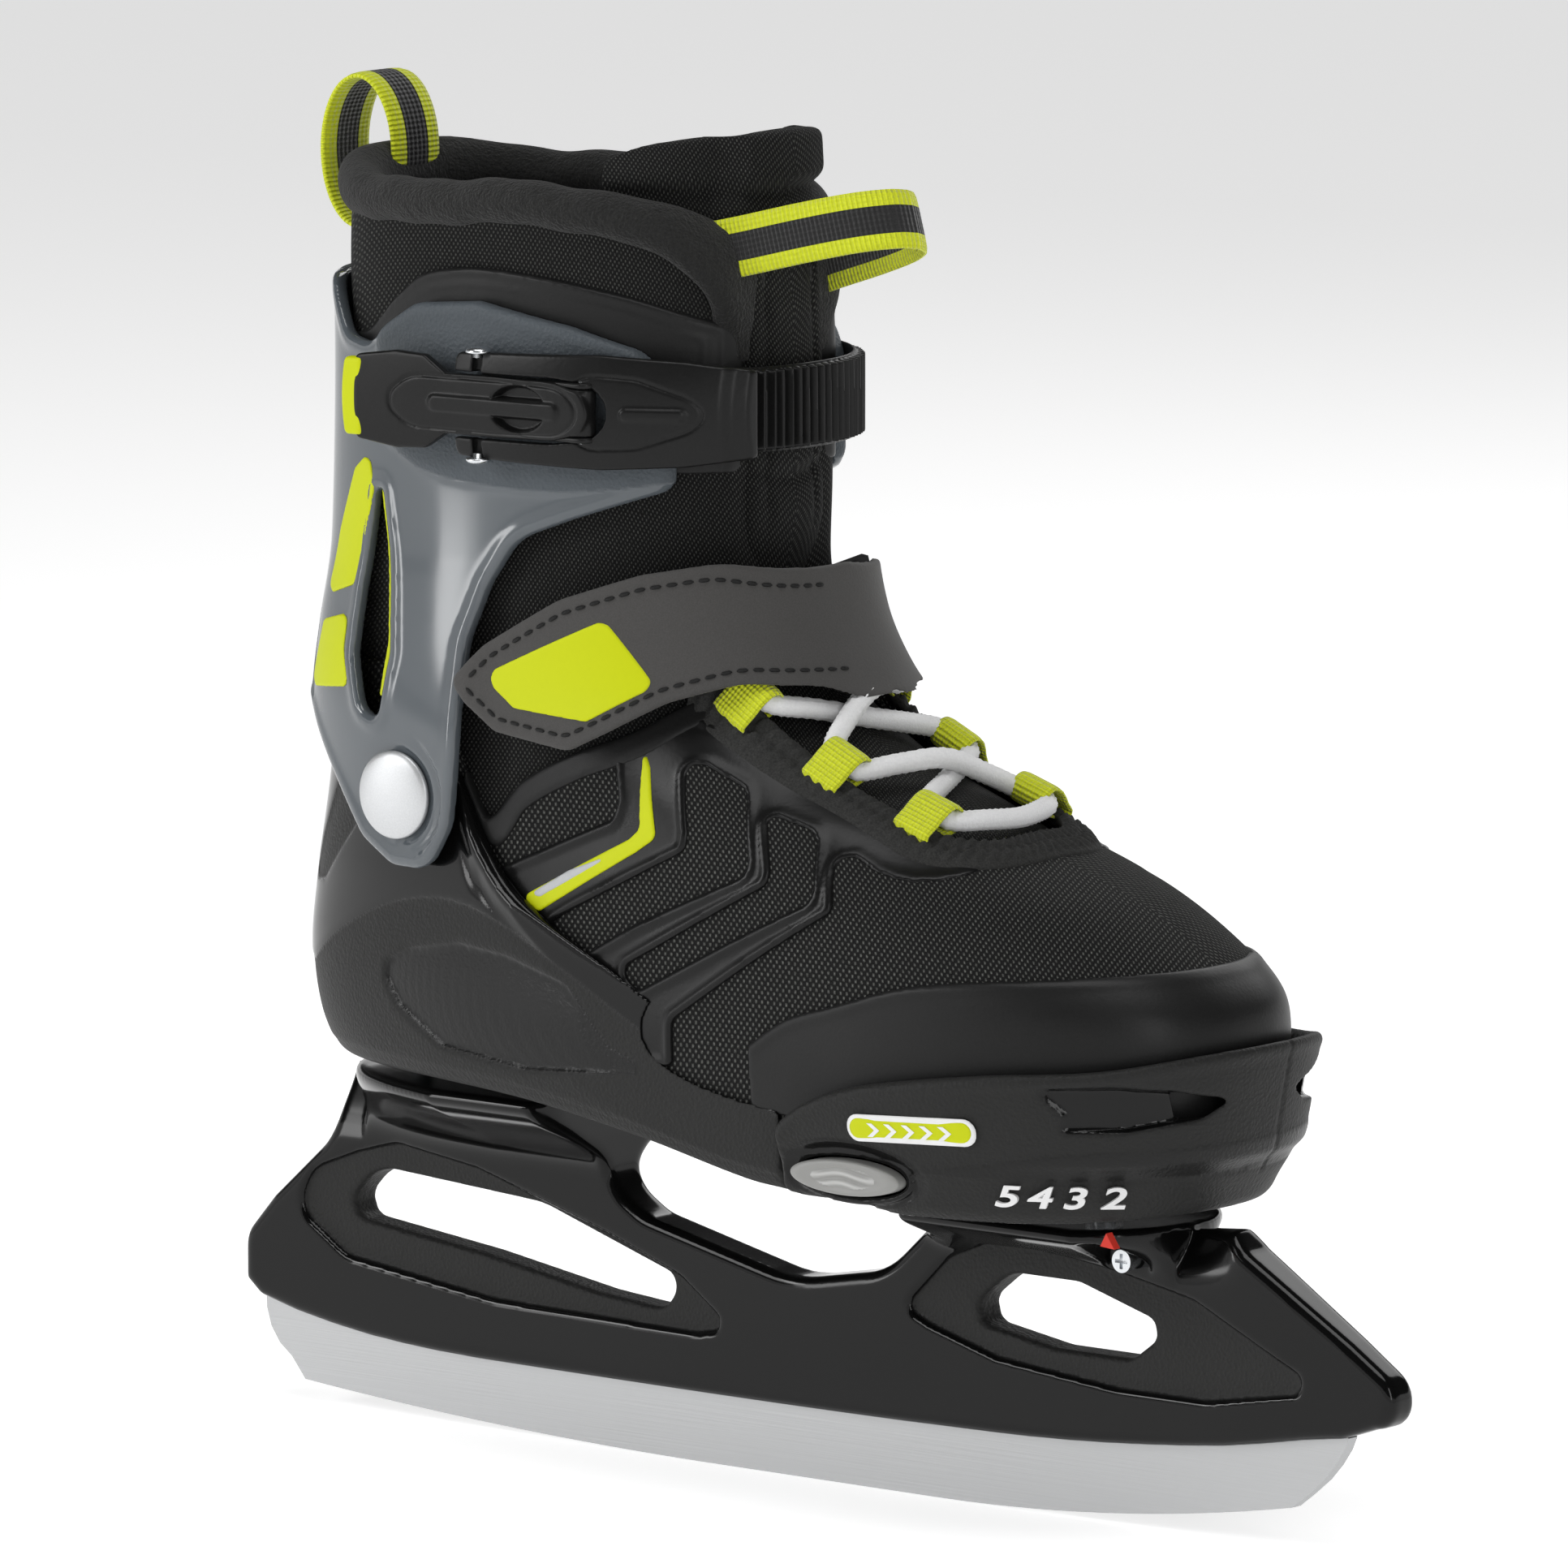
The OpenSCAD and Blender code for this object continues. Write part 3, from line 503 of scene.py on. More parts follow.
def webbing(name, edge, middle):
    """Ribbed band, its grooves darkened with painted shade. 'across' runs 0 to 1 over its width and
    'along' counts millimetres.
    """
    p = Paint(name, edge, 0.62, Sheen_Weight=0.2, Specular_IOR_Level=0.3)
    across, along = p.value("across"), p.value("along")
    off = p.math("ABSOLUTE", p.math("SUBTRACT", across, 0.5))
    stripe = p.math("LESS_THAN", off, 0.235)
    ribs = p.math("SINE", p.math("MULTIPLY", along, 2 * math.pi / 1.05))
    warp = p.math("SINE", p.math("MULTIPLY", across, 2 * math.pi * 11))
    cloth = p.blend(stripe, edge, middle)
    # the cloth is darker in the grooves between the ribs: painted shade
    painted_rib_shade = p.between(ribs, 0.85, 1.0)
    dark = p.node("ShaderNodeMix", data_type="RGBA", blend_type="MULTIPLY")
    dark.inputs[0].default_value = 1.0
    p.wire(cloth, dark.inputs[6])
    p.wire(painted_rib_shade, dark.inputs[7])
    p.colour(dark.outputs[2])
    height = p.math("ADD", p.math("MULTIPLY", ribs, 0.6), p.math("MULTIPLY", warp, 0.4))
    p.relief(p.math("ADD", height, p.noise(2200, 2)), 0.3, 0.9)
    return p.material


def steel(name, colour, rough, stretch, depth):
    """Ground metal, its lines drawn out by stretch."""
    p = Paint(name, colour, rough, Metallic=1.0)
    lines = p.noise(400, 4, stretch)
    p.rough(p.between(lines, rough - 0.07, rough + 0.09))
    p.colour(p.blend(lines, tuple(0.92 * c for c in colour), colour))
    p.relief(lines, depth, 0.5)
    return p.material


def satin_metal(name):
    """Silver paint with fine flakes."""
    p = Paint(name, (0.56, 0.57, 0.58), 0.4, Metallic=0.7, Coat_Weight=0.15, Coat_Roughness=0.2)
    flakes = p.noise(3000, 2)
    p.colour(p.blend(flakes, (0.5, 0.51, 0.52), (0.66, 0.67, 0.68)))
    p.rough(p.between(flakes, 0.36, 0.5))
    return p.material


def braid(name):
    p = Paint(name, (0.80, 0.80, 0.80), 0.75, Sheen_Weight=0.3)
    p.colour(p.blend(p.noise(1800, 3), (0.70, 0.70, 0.71), (0.86, 0.86, 0.86)))
    p.relief(p.noise(2500, 2), 0.12, 0.8)
    return p.material


def ridged_button(name):
    """Grey plastic, paler on the crests of its wavy ridges and darker between them: painted highlight
    and shade.
    """
    p = Paint(name, (0.28, 0.28, 0.28), 0.42)
    p.colour(p.blend(p.value("wave"), (0.26, 0.26, 0.25), (0.44, 0.44, 0.43)))
    p.relief(p.noise(1200, 3), 0.03, 0.5)
    return p.material


LIME = (0.54, 0.60, 0.002)
BRIGHT_LIME = (0.72, 0.80, 0.01)
black_shell = moulded("black_shell_plastic", (0.003, 0.003, 0.003), (0.02, 0.02, 0.0195), 0.1,
                      0.5, 0.25)
slate = moulded("slate_cuff_plastic", (0.082, 0.094, 0.105), (0.072, 0.083, 0.093), 0.1, 0.42,
                0.6)
air_mesh = knit("black_air_mesh", (0.005, 0.005, 0.005), (0.15, 0.153, 0.142))
liner_mesh = knit("black_liner_mesh", (0.004, 0.004, 0.004), (0.085, 0.087, 0.08), 1.2, 1.5, 0.4)
rim_fleece = fleece("black_rim_fleece")
satin = soft("satin_coated_fabric", (0.009, 0.009, 0.009), (0.014, 0.014, 0.014), 0.4, 1400, 0.04)
microfibre = soft("strap_microfibre", (0.045, 0.044, 0.042), (0.075, 0.072, 0.07), 0.72, 1800,
                  0.06, 0.1)
moulded_trim = soft("pressed_overlay", (0.005, 0.005, 0.005), (0.008, 0.008, 0.008), 0.28, 1200,
                    0.03)
binding = soft("ribbed_binding", (0.006, 0.006, 0.006), (0.05, 0.05, 0.048), 0.85, 1500, 0.3)
buckle_plastic = soft("buckle_plastic", (0.006, 0.006, 0.006), (0.010, 0.010, 0.010), 0.32,
                      1000, 0.03)
lime_film = soft("lime_film", LIME, (0.52, 0.58, 0.002), 0.5, 500, 0.01)
loop_web = webbing("lime_black_webbing", BRIGHT_LIME, (0.012, 0.012, 0.012))
lime_web = webbing("lime_webbing", BRIGHT_LIME, BRIGHT_LIME)
silver_film = soft("silver_film", (0.42, 0.43, 0.44), (0.5, 0.51, 0.52), 0.35, 500, 0.01)
white_print = soft("white_print", (0.75, 0.75, 0.75), (0.8, 0.8, 0.8), 0.5, 500, 0.01)
thread = soft("black_thread", (0.004, 0.004, 0.004), (0.02, 0.02, 0.02), 0.6, 3000, 0.1)


runner = steel("ground_runner_steel", (0.47, 0.475, 0.48), 0.42, (0.06, 6, 6), 0.05)
zinc = steel("zinc_steel", (0.70, 0.72, 0.74), 0.25, (1, 1, 1), 0.03)
silver_cap = satin_metal("satin_silver_cap")
white_lace = braid("white_lace")
grey_button = ridged_button("grey_button")
red_film = soft("red_plastic", (0.62, 0.035, 0.025), (0.7, 0.05, 0.03), 0.4, 500, 0.01)


# ---------------------------------------------------------------------------------------------
# Runner and holder
# ---------------------------------------------------------------------------------------------
JOINT_LINE = [[-158, 24], [-148, 21], [-122, 17], [-90, 15.5], [50, 16], [101, 19.5], [134, 25]]
HOLDER = [[-158, 26, 0], [-158, 36, 7], [-150, 45, 8], [-133, 60, 12], [-131, 78, 0],
          [-55, 78, 0], [-56, 68, 10], [-56, 57, 12], [-47, 51.5, 14], [-7, 42.5, 30],
          [18, 47, 20], [32, 60, 5], [34, 65, 0], [108, 65, 0], [112, 61, 6], [138, 45, 8],
          [150, 37, 7], [149, 28, 5]]
REAR_WINDOW = [[-132, 43, 7], [-122, 54, 11], [-76, 51, 24], [-38, 39, 4], [-42, 32, 5],
               [-60, 33.5, 8], [-92, 38.5, 20]]
FRONT_WINDOW = [[37, 39.5, 4], [50, 50, 9], [68, 50, 8], [92, 43, 4], [82, 35.5, 5],
                [62, 35.5, 7]]
REAR_PANEL = [[-143, 43], [-139, 52], [-126, 57], [-115, 60], [-93, 57], [-57, 47], [-37, 40],
              [-23, 30], [-33, 28], [-88, 29], [-129, 34]]
FRONT_PANEL = [[23, 40], [35, 52], [46, 56.5], [63, 57], [99, 50], [127, 37], [126, 33], [102, 29],
               [80, 29], [48, 32], [30, 37]]
RAIL_HALF = 5.5          # half the thickness of the holder's rail
PANEL_DEPTH = 1.5
PANEL_ROUND = 9
SCREW = (84, 57)         # cross screw, (x, z)


def build_holder():
    """Rail, nose, heel cup and toe plate in one moulding, with its windows."""
    s = Space((-162, -31, 14), (154, 31, 80), 0.55, mirror=True)
    x, y, z = s.x, np.abs(s.y), s.z
    joint = [(float(a), float(curve(JOINT_LINE, a))) for a in range(136, -156, -10)]
    profile = inside([tuple(p) for p in rounded(HOLDER)] + joint, x, z)
    # the rail widens upwards into a cup under the heel and a plate under the toe
    heel = np.minimum(half(x, np.float64(76.0), 1.5), 31.5)
    toe = np.minimum(half(x, np.float64(68.0), -3), 25)
    rise_rear = step_up(z, 57, 77) ** 1.5 * np.clip((-49 - x) / 8, 0, 1)
    rise_fore = step_up(z, 51, 64) ** 1.6 * step_up(x, 28, 38) * (1 - step_up(x, 93, 113))
    # a soft ridge runs down the long nose
    nose = step_up(x, 104, 150)
    wide = RAIL_HALF - 1.3 * nose + (heel - RAIL_HALF) * rise_rear + (toe - RAIL_HALF) * rise_fore
    steep = 1 / (1 + 1.1 * (rise_rear * (1 - rise_rear) + rise_fore * (1 - rise_fore)) * 4)
    d = smax(profile, (y - wide) * steep, 2.6)
    for panel in (REAR_PANEL, FRONT_PANEL):
        area = inside(with_radius(panel, PANEL_ROUND), x, z)
        d = smax(d, -np.maximum(area, RAIL_HALF - PANEL_DEPTH - y), 0.8)
    for window in (REAR_WINDOW, FRONT_WINDOW):
        d = smax(d, -inside(rounded(window), x, z), 1.6)
    # a round pocket for the head of the cross screw
    pocket = np.maximum(np.hypot(x - SCREW[0], z - SCREW[1]) - 5.2, 6.2 - y)
    d = smax(d, -pocket, 0.8)
    piece = solid("blade_holder_shell", s, d, black_shell, "root")
    px, py, pz = coordinates(piece)
    rear = inside(with_radius(REAR_PANEL, PANEL_ROUND), px, pz)
    fore = inside(with_radius(FRONT_PANEL, PANEL_ROUND), px, pz)
    inner = crisp(np.minimum(rear, fore) + 0.2) * (np.abs(py) < 4.6)
    paint(piece, "grain", inner)
    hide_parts("blade_holder")


# ---------------------------------------------------------------------------------------------
# Base shell, round the heel and arch
# ---------------------------------------------------------------------------------------------
SHELL_LOW = [[-140, 80.5], [-60, 80.5], [-20, 76], [10, 70], [20, 69]]
SHELL_HIGH = [[-140, 161], [-122, 161], [-104, 155.5], [-84, 154], [-70, 147], [-62, 135],
              [-53, 125.5], [-40, 118], [-18, 108], [4, 97], [14, 91], [21, 86]]
FLOOR_TOP = [[-140, 84], [-60, 84], [-10, 76.5], [30, 69.6], [120, 69.6]]
GLOSS_LINE = [[-125, 101], [-110, 110], [-91, 118], [-74, 121], [-59, 119], [-39, 111],
              [-15, 99], [7, 91], [23, 84]]
LEAF = [[-96, 104], [-85, 109], [-69, 112], [-54, 111], [-36, 107], [-25, 95], [-11, 90],
        [-49, 87], [-75, 89], [-89, 96]]
REAR_STRIP = [[-108, 146], [-100, 137], [-119, 119], [-128, 117], [-122, 128], [-112, 143]]


def build_base_shell():
    """Open shell with bored bosses, shallow panels and a rolled upper edge."""
    s, x, y, z, g, f = form_space((-138, -43, 62), (22, 43, 163), 0.6)
    under = below(SHELL_HIGH, x, z)
    gloss = below(GLOSS_LINE, x, z)
    leaf = inside(with_radius(LEAF, 4), x, z)
    strip = inside(with_radius(REAR_STRIP, 3), x, z)
    # the rolled edge stops where the cuff passes over it
    rolled = step_up(x, -74, -62)
    skin = 3.5 + (0.9 * bump(under, -2.4, 1.7) - 0.35 * bump(under, -6.2, 1.1)) * rolled
    skin = skin - 0.45 * crisp(gloss, 0.9) - 1.2 * crisp(leaf, 0.7) - 0.4 * crisp(strip, 0.8)
    # the sole edge steps in below the side walls
    skin = skin - 0.5 * step_up(curve(SHELL_LOW, x) + 3.5 - z, -0.6, 0.6)
    d = smax((g - skin) * f, curve(SHELL_LOW, x) - z, 3.2)
    d = smax(d, under, 1.3)
    d = smax(d, x - 21, 1.0)
    cavity = np.maximum((g - 0.7) * f, curve(FLOOR_TOP, x) - z)
    d = smax(d, -cavity, 0.8)
    # bored bosses that carry the ankle pivots
    pivot = np.hypot(x - PIVOT[0], z - PIVOT[1])
    boss = np.maximum(pivot - 8, 32.4 - y)
    boss = np.maximum(boss, y - 38)
    d = np.minimum(d, boss)
    d = np.maximum(d, -(pivot - 4.2))
    piece = solid("base_shell_moulding", s, d, black_shell, "root")
    px, _, pz = coordinates(piece)
    matte = crisp(below(GLOSS_LINE, px, pz) + 0.4)
    matte = matte * (1 - 0.75 * crisp(inside(with_radius(LEAF, 4), px, pz)))
    matte = np.maximum(matte, crisp(inside(with_radius(REAR_STRIP, 3), px, pz)))
    paint(piece, "grain", matte)
    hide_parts("base_shell")


# ---------------------------------------------------------------------------------------------
# Toe shell with its release button, badge and size numerals
# ---------------------------------------------------------------------------------------------
TOE_LOW = [[15, 71], [40, 68], [90, 67.5], [120, 69]]
TOE_HIGH = [[18, 76], [25, 85], [35, 91], [48, 95], [74, 99], [98, 101], [117, 105]]
LEDGE = [[20, 79], [27, 79], [43, 80], [57, 78.5], [72, 80], [89, 83], [102, 84], [116, 84.5]]
INTAKE = [[86, 97.2], [100, 97.6], [108, 96.6], [112.5, 94], [110, 90.5], [101, 88.4],
          [90, 88.2], [91.5, 91.5]]
BUTTON = (42, 75)        # middle of the release button, (x, z)
BUTTON_H = 7.6
BUTTON_L = 28.1
BADGE = [[44.2, 83.2], [44.4, 88.9], [74.4, 90.2], [74.2, 84.4]]


def button_oval(x, z, grow):
    """About the distance outside the release button's outline grown by a little."""
    a, b = BUTTON_L / 2 + grow, BUTTON_H / 2 + grow
    reach = np.sqrt(((x - BUTTON[0]) / a) ** 2 + ((z - BUTTON[1]) / b) ** 2)
    return (reach - 1) * b


def button_waves(x, z):
    """Height of the button's wavy ridges, -1 to 1."""
    return np.sin((z + 0.5 * np.sin(x * 0.42)) * 3.1)


def build_toe_shell():
    """Sliding shell: ledge, intake, scoop and well for the button, sole plate."""
    s, x, y, z, g, f = form_space((22.5, -52, 64.5), (119, 52, 109), 0.5, mirror=False)
    outer_side = y < 0
    under = below(TOE_HIGH, x, z)
    ledge = below(LEDGE, x, z)
    skin = TOE_SKIN + 0.55 * bump(under, -1.9, 1.3)
    skin = skin + 0.35 * crisp(ledge, 0.7) * step_up(z, 66, 71)
    skin = skin - 1.5 * step_up(81.5 - z, 0, 3) * step_up(x, 70, 104)
    skin = skin - 1.5 * step_up(x, 104, 116)
    slot = inside(with_radius(INTAKE, 1), x, z)
    skin = skin - 2.2 * crisp(slot, 0.6) * (0.45 + 0.55 * step_up(x, 86, 104))
    scoop = button_oval(x, z, 3.4)
    skin = skin - 1.9 * crisp(scoop, 1.2) * outer_side
    # shallow band seam round the front of the sole
    skin = skin - 0.5 * bump(z, 77.5 + 0.03 * (x - 90), 0.55) * step_up(x, 84, 88) * outer_side
    seam = np.abs(np.arctan2(y, x - 40) - math.radians(5))
    skin = skin - 0.5 * bump(seam * 75, 0, 0.5) * (z > 76)
    d = smax((g - skin) * f, curve(TOE_LOW, x) - z, 3.6)
    d = smax(d, under, 1.4)
    d = smax(d, 24 - x, 1.2)
    # hollow above and beneath the sole plate
    above = np.maximum((g - 4.1) * f, 74.5 - z)
    beneath = np.maximum((g - 4.1) * f, z - 71.5)
    d = smax(d, -above, 0.7)
    d = smax(d, -beneath, 0.7)
    # the button slides in a blind well with a floor behind it
    housing = np.maximum(button_oval(x, z, 2.0), np.maximum(-46 - y, y + 40.8))
    d = np.minimum(d, housing)
    well = np.maximum(button_oval(x, z, 0.35), y + 42)
    d = smax(d, -well, 0.3)
    piece = solid("toe_shell_moulding", s, d, black_shell, "toe")
    px, py, pz = coordinates(piece)
    smooth = crisp(inside(with_radius(INTAKE, 2), px, pz) - 0.3)
    smooth = np.maximum(smooth, crisp(button_oval(px, pz, 3.6)) * (py < 0))
    band = crisp(below(LEDGE, px, pz)) * crisp(77.5 - pz) * 0.4
    paint(piece, "grain", np.clip(1 - smooth - band, 0.1, 1) * (pz > 68))
    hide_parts("toe_shell")


def build_button():
    """Oval button with wavy ridges on its face."""
    s = Space((25, -52, 69), (59, -43, 81), 0.22)
    x, y, z = s.x, s.y, s.z
    d = button_oval(x, z, -0.15)
    rim = button_oval(x, z, 0.0)
    ripple = 0.3 * button_waves(x, z)
    face = 48.75 + 0.25 * bump(rim, -0.7, 0.5) - 0.03 * (x - BUTTON[0])
    face = face + ripple * crisp(rim + 1.7, 0.3)
    d = smax(d, -y - face, 0.7)
    d = np.maximum(d, y + 44.8)
    piece = solid("release_button", s, d, grey_button, "button", 1)
    px, _, pz = coordinates(piece)
    # the 'wave' follows the ridges' height; the material paints the crests paler and the troughs
    # darker, a painted highlight and shade
    wave = button_waves(px, pz) * 0.5 + 0.5
    paint(piece, "wave", wave * (button_oval(px, pz, 0.0) < -1.6))
    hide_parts("size_button")


def middle(points):
    """Mean of an outline's points."""
    return (sum(p[0] for p in points) / len(points), sum(p[1] for p in points) / len(points))


def plaque(name, outline, lift, material, thick=0.5):
    """Thin label on the toe shell's outer side: an (x, z) outline laid over its skin."""
    pts = with_radius(outline, 2.6)
    cx, cz = middle(pts)
    rows = []
    for share, drop in ((0.0, 0), (0.25, 0), (0.5, 0), (0.75, 0), (0.96, 0), (1.0, 0.12),
                        (1.0, thick)):
        row = []
        for p in pts:
            px, pz = cx + (p[0] - cx) * share, cz + (p[1] - cz) * share
            row.append((px, -(float(half(px, pz, TOE_SKIN)) + lift - drop), pz))
        rows.append(row)
    return grid_mesh(name, rows, material, "toe", closed=True)


def shrink(points, by):
    """An outline moved inwards by about the same amount all round."""
    cx, cz = middle(points)
    return [[p[0] - math.copysign(by, p[0] - cx), p[1] - math.copysign(by, p[1] - cz)]
            for p in points]


MARK_X = 49.5            # first chevron on the badge
MARK_Z = 86.4
MARK_STEP = 4.2
BADGE_SLOPE = 0.043


def build_badge():
    """Lime plaque with a white border and a row of white chevrons."""
    border = plaque("badge_border", BADGE, 0.95, white_print)
    face = plaque("badge_face", shrink(BADGE, 0.75), 1.12, lime_film)
    points, faces = [], []
    for k in range(5):
        x0 = MARK_X + MARK_STEP * k
        for dx, dz in ((0, 2.0), (1.3, 2.0), (3.1, 0), (1.3, -2.0), (0, -2.0), (1.8, 0)):
            px, pz = x0 + dx, MARK_Z + BADGE_SLOPE * (x0 + dx - 59) + dz * 0.72
            points.append((px, -(float(half(px, pz, TOE_SKIN)) + 1.2), pz))
        n = 6 * k
        faces += [(n, n + 1, n + 2, n + 5), (n + 5, n + 2, n + 3, n + 4)]
    marks = make_mesh("badge_marks", points, faces, white_print, "toe", smooth=False)
    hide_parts("size_badge")


NUMERAL_X = 78.6         # first numeral; the rest follow at equal steps
NUMERAL_STEP = 6.2
NUMERAL_Z = 74.0
NUMERAL_H = 7.9
NUMERAL_TURN = {"5": 22, "4": 27, "3": 34, "2": 42}    # degrees round the toe


def build_numerals():
    """Size scale in raised white figures that follow the shell round."""
    for k, digit in enumerate(NUMERAL_TURN):
        text = bpy.data.curves.new("numeral_" + digit, "FONT")
        text.body = digit
        text.size = NUMERAL_H * MM
        text.extrude = 0.7 * MM
        text.shear = 0.2
        text.offset = 0.14 * MM
        text.align_x = "CENTER"
        text.align_y = "CENTER"
        made = bpy.data.objects.new("numeral_" + digit, text)
        bpy.context.scene.collection.objects.link(made)
        graph = bpy.context.evaluated_depsgraph_get()
        mesh = bpy.data.meshes.new_from_object(made.evaluated_get(graph))
        bpy.data.objects.remove(made)
        px = NUMERAL_X + NUMERAL_STEP * k
        turn = math.radians(NUMERAL_TURN[digit])
        py = -(float(half(px, 75.0, TOE_SKIN)) + 0.5)
        place = Matrix.Translation(Vector((px, py, NUMERAL_Z)) * MM)
        spin = Matrix.Rotation(turn, 4, "Z") @ Matrix.Rotation(math.pi / 2, 4, "X")
        spin = spin @ Matrix.Diagonal((1.3, 0.78, 1, 1))
        mesh.transform(place @ spin)
        piece = bpy.data.objects.new("size_numeral_" + digit, mesh)
        bpy.context.scene.collection.objects.link(piece)
        mesh.materials.clear()
        mesh.materials.append(white_print)
        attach(piece, "toe")
        if k == 0:
            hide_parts("size_numerals")


# ---------------------------------------------------------------------------------------------
# Cuff
# ---------------------------------------------------------------------------------------------
CUFF_GROW = [[140, 4], [158, 3.9], [173, 2.2], [193, 0], [300, 0]]
CUFF_WINDOW = [[-92, 211, 2], [-94.5, 198, 5], [-97.5, 184, 8], [-99, 170, 6], [-96, 159, 4],
               [-90, 157, 3], [-86.6, 172, 10], [-89, 194, 10]]
# the arm that reaches down to the pivot, the wing above it, then the upper edge
CUFF_OUTLINE = [[-121, 156.5, 3], [-97, 131.5, 9], [-86, 126.6, 10], [-74, 127, 9],
                [-67.6, 137, 10], [-66, 150, 14], [-64.5, 176, 16], [-60, 188, 14],
                [-53, 198, 14], [-40, 203, 12], [-20, 210, 4], [-20.5, 233, 6], [-26, 239, 6],
                [-40, 243.5, 9], [-62, 247.5, 9], [-79, 246, 9], [-88, 241, 7], [-95, 236, 6],
                [-104, 237, 6], [-114, 248, 6], [-146, 252, 0], [-146, 158, 0]]
WING_CREASE = [[-92, 218], [-88, 216], [-78, 211.5], [-60, 209.5], [-40, 209.5], [-20, 212]]


def build_cuff():
    """Hinged cuff: spine, wings, window beside the spine and arms to the pivot."""
    s, x, y, z, g, f = form_space((-144, -46, 124), (-19, 46, 254), 0.62)
    wide = curve(CUFF_GROW, z).astype(np.float32)
    outline = inside(rounded(CUFF_OUTLINE), x, z)
    window = inside(rounded(CUFF_WINDOW), x, z)
    crease = below(WING_CREASE, x, z)
    wing = np.maximum(-crease, -91 - x)
    skin = 4.0 + wide + 0.75 * crisp(wing, 1.1)
    skin = skin + 0.45 * bump(window, 2.0, 1.4) + 0.35 * bump(outline, -2.0, 1.3)
    d = layer(g, f, skin, 1.2 + wide, 0.9)
    d = smax(d, outline, 1.0)
    d = smax(d, -window, 1.0)
    # spot face under the rivet cap
    ring = np.hypot(x - PIVOT[0], z - PIVOT[1])
    d = smax(d, np.where(ring < 14, y - 41.2 - 1.4 * step_up(ring, 9.8, 11.4), -9), 0.4)
    d = np.maximum(d, 4.3 - ring)
    piece = solid("cuff_moulding", s, d, slate, "cuff")
    px, _, pz = coordinates(piece)
    wing = np.maximum(-below(WING_CREASE, px, pz), -91 - px)
    paint(piece, "grain", np.maximum(crisp(wing - 0.4), crisp(px + 118.4)))
    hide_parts("cuff")


def skin_patch(name, outline, lift, thick, material, body, side=-1, grow=None, step=0.5):
    """Solid patch lying on the form at a level, cut to an (x, z) outline."""
    pts = with_radius(outline, 2.0)
    xs = [p[0] for p in pts]
    zs = [p[1] for p in pts]
    ys = [float(half(p[0], p[1], lift + 6)) for p in pts]
    if side < 0:
        span = (-max(ys) - 2, -min(ys) + 12)
    else:
        span = (min(ys) - 12, max(ys) + 2)
    s = Space((min(xs) - 2, span[0], min(zs) - 2), (max(xs) + 2, span[1], max(zs) + 2), step)
    g, f = s.level()
    area = inside(pts, s.x, s.z)
    top = lift + (curve(grow, s.z) if grow else 0)
    d = layer(g, f, top, top - thick, 0.2)
    d = smax(d, area, 0.35)
    return solid(name, s, d, material, body, 1)


DECAL_UP = [[-95.5, 213], [-93.4, 206], [-96.2, 196], [-100, 184.5], [-113, 180.5], [-108, 195],
            [-101, 209]]
DECAL_LOW = [[-113.5, 175.5], [-101.5, 178.5], [-102.5, 171], [-100, 163], [-119, 160.5]]


def build_cuff_trim():
    """Lime decals beside the spine and the thin lime edge of each window."""
    first = None
    for side in (-1, 1):
        tag = "lateral" if side < 0 else "medial"
        for label, shape in (("lower", DECAL_LOW), ("upper", DECAL_UP)):
            piece = skin_patch("cuff_decal_" + label + "_" + tag, shape, 4.4, 1.2, lime_film,
                               "cuff", side, CUFF_GROW, 0.35)
            first = first or piece
        keys = [[-91.2, 208], [-88.6, 194], [-86.4, 174], [-88.6, 162]]
        edge = keys + [[p[0] - 1.5, p[1]] for p in reversed(keys)]
        piece = skin_patch("window_edge_" + tag, edge, 3.2, 2.6, lime_film, "cuff", side,
                           CUFF_GROW, 0.4)
    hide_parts("cuff_decals")


CAP_SEAT = 41.4          # the caps' undersides, outwards from the middle plane


def build_caps():
    """Domed rivet caps on the ankle pivot."""
    for side, node in ((-1, "pivot_rivet_lateral"), (1, "pivot_rivet_medial")):
        profile = [[0.01, -10], [4, -10], [4, 0], [9.0, 0], [9.3, 0.3], [9.3, 0.8], [9.0, 1.2],
                   [8.1, 1.6], [6.6, 1.95], [4.7, 2.2], [2.4, 2.34], [0.01, 2.38]]
        piece = lathe(node + "_cap", profile, (PIVOT[0], side * CAP_SEAT, PIVOT[1]),
                      (0, side, 0), silver_cap, "root")
        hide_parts(node)


# ---------------------------------------------------------------------------------------------
# Plain CAD nodes that keep their shape
# ---------------------------------------------------------------------------------------------
def dress_nodes():
    """Give the CAD nodes that stay visible their materials."""
    looks = {"blade": runner, "blade_rivets": zinc, "frame_bolts": zinc, "cross_screw": zinc,
             "size_pointer": red_film, "buckle_screw": zinc, "ladder_screw": zinc,
             "button_spring": zinc, "strap_ring": buckle_plastic}
    for name, material in looks.items():
        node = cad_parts[name]
        for slot in node.material_slots:
            slot.material = material


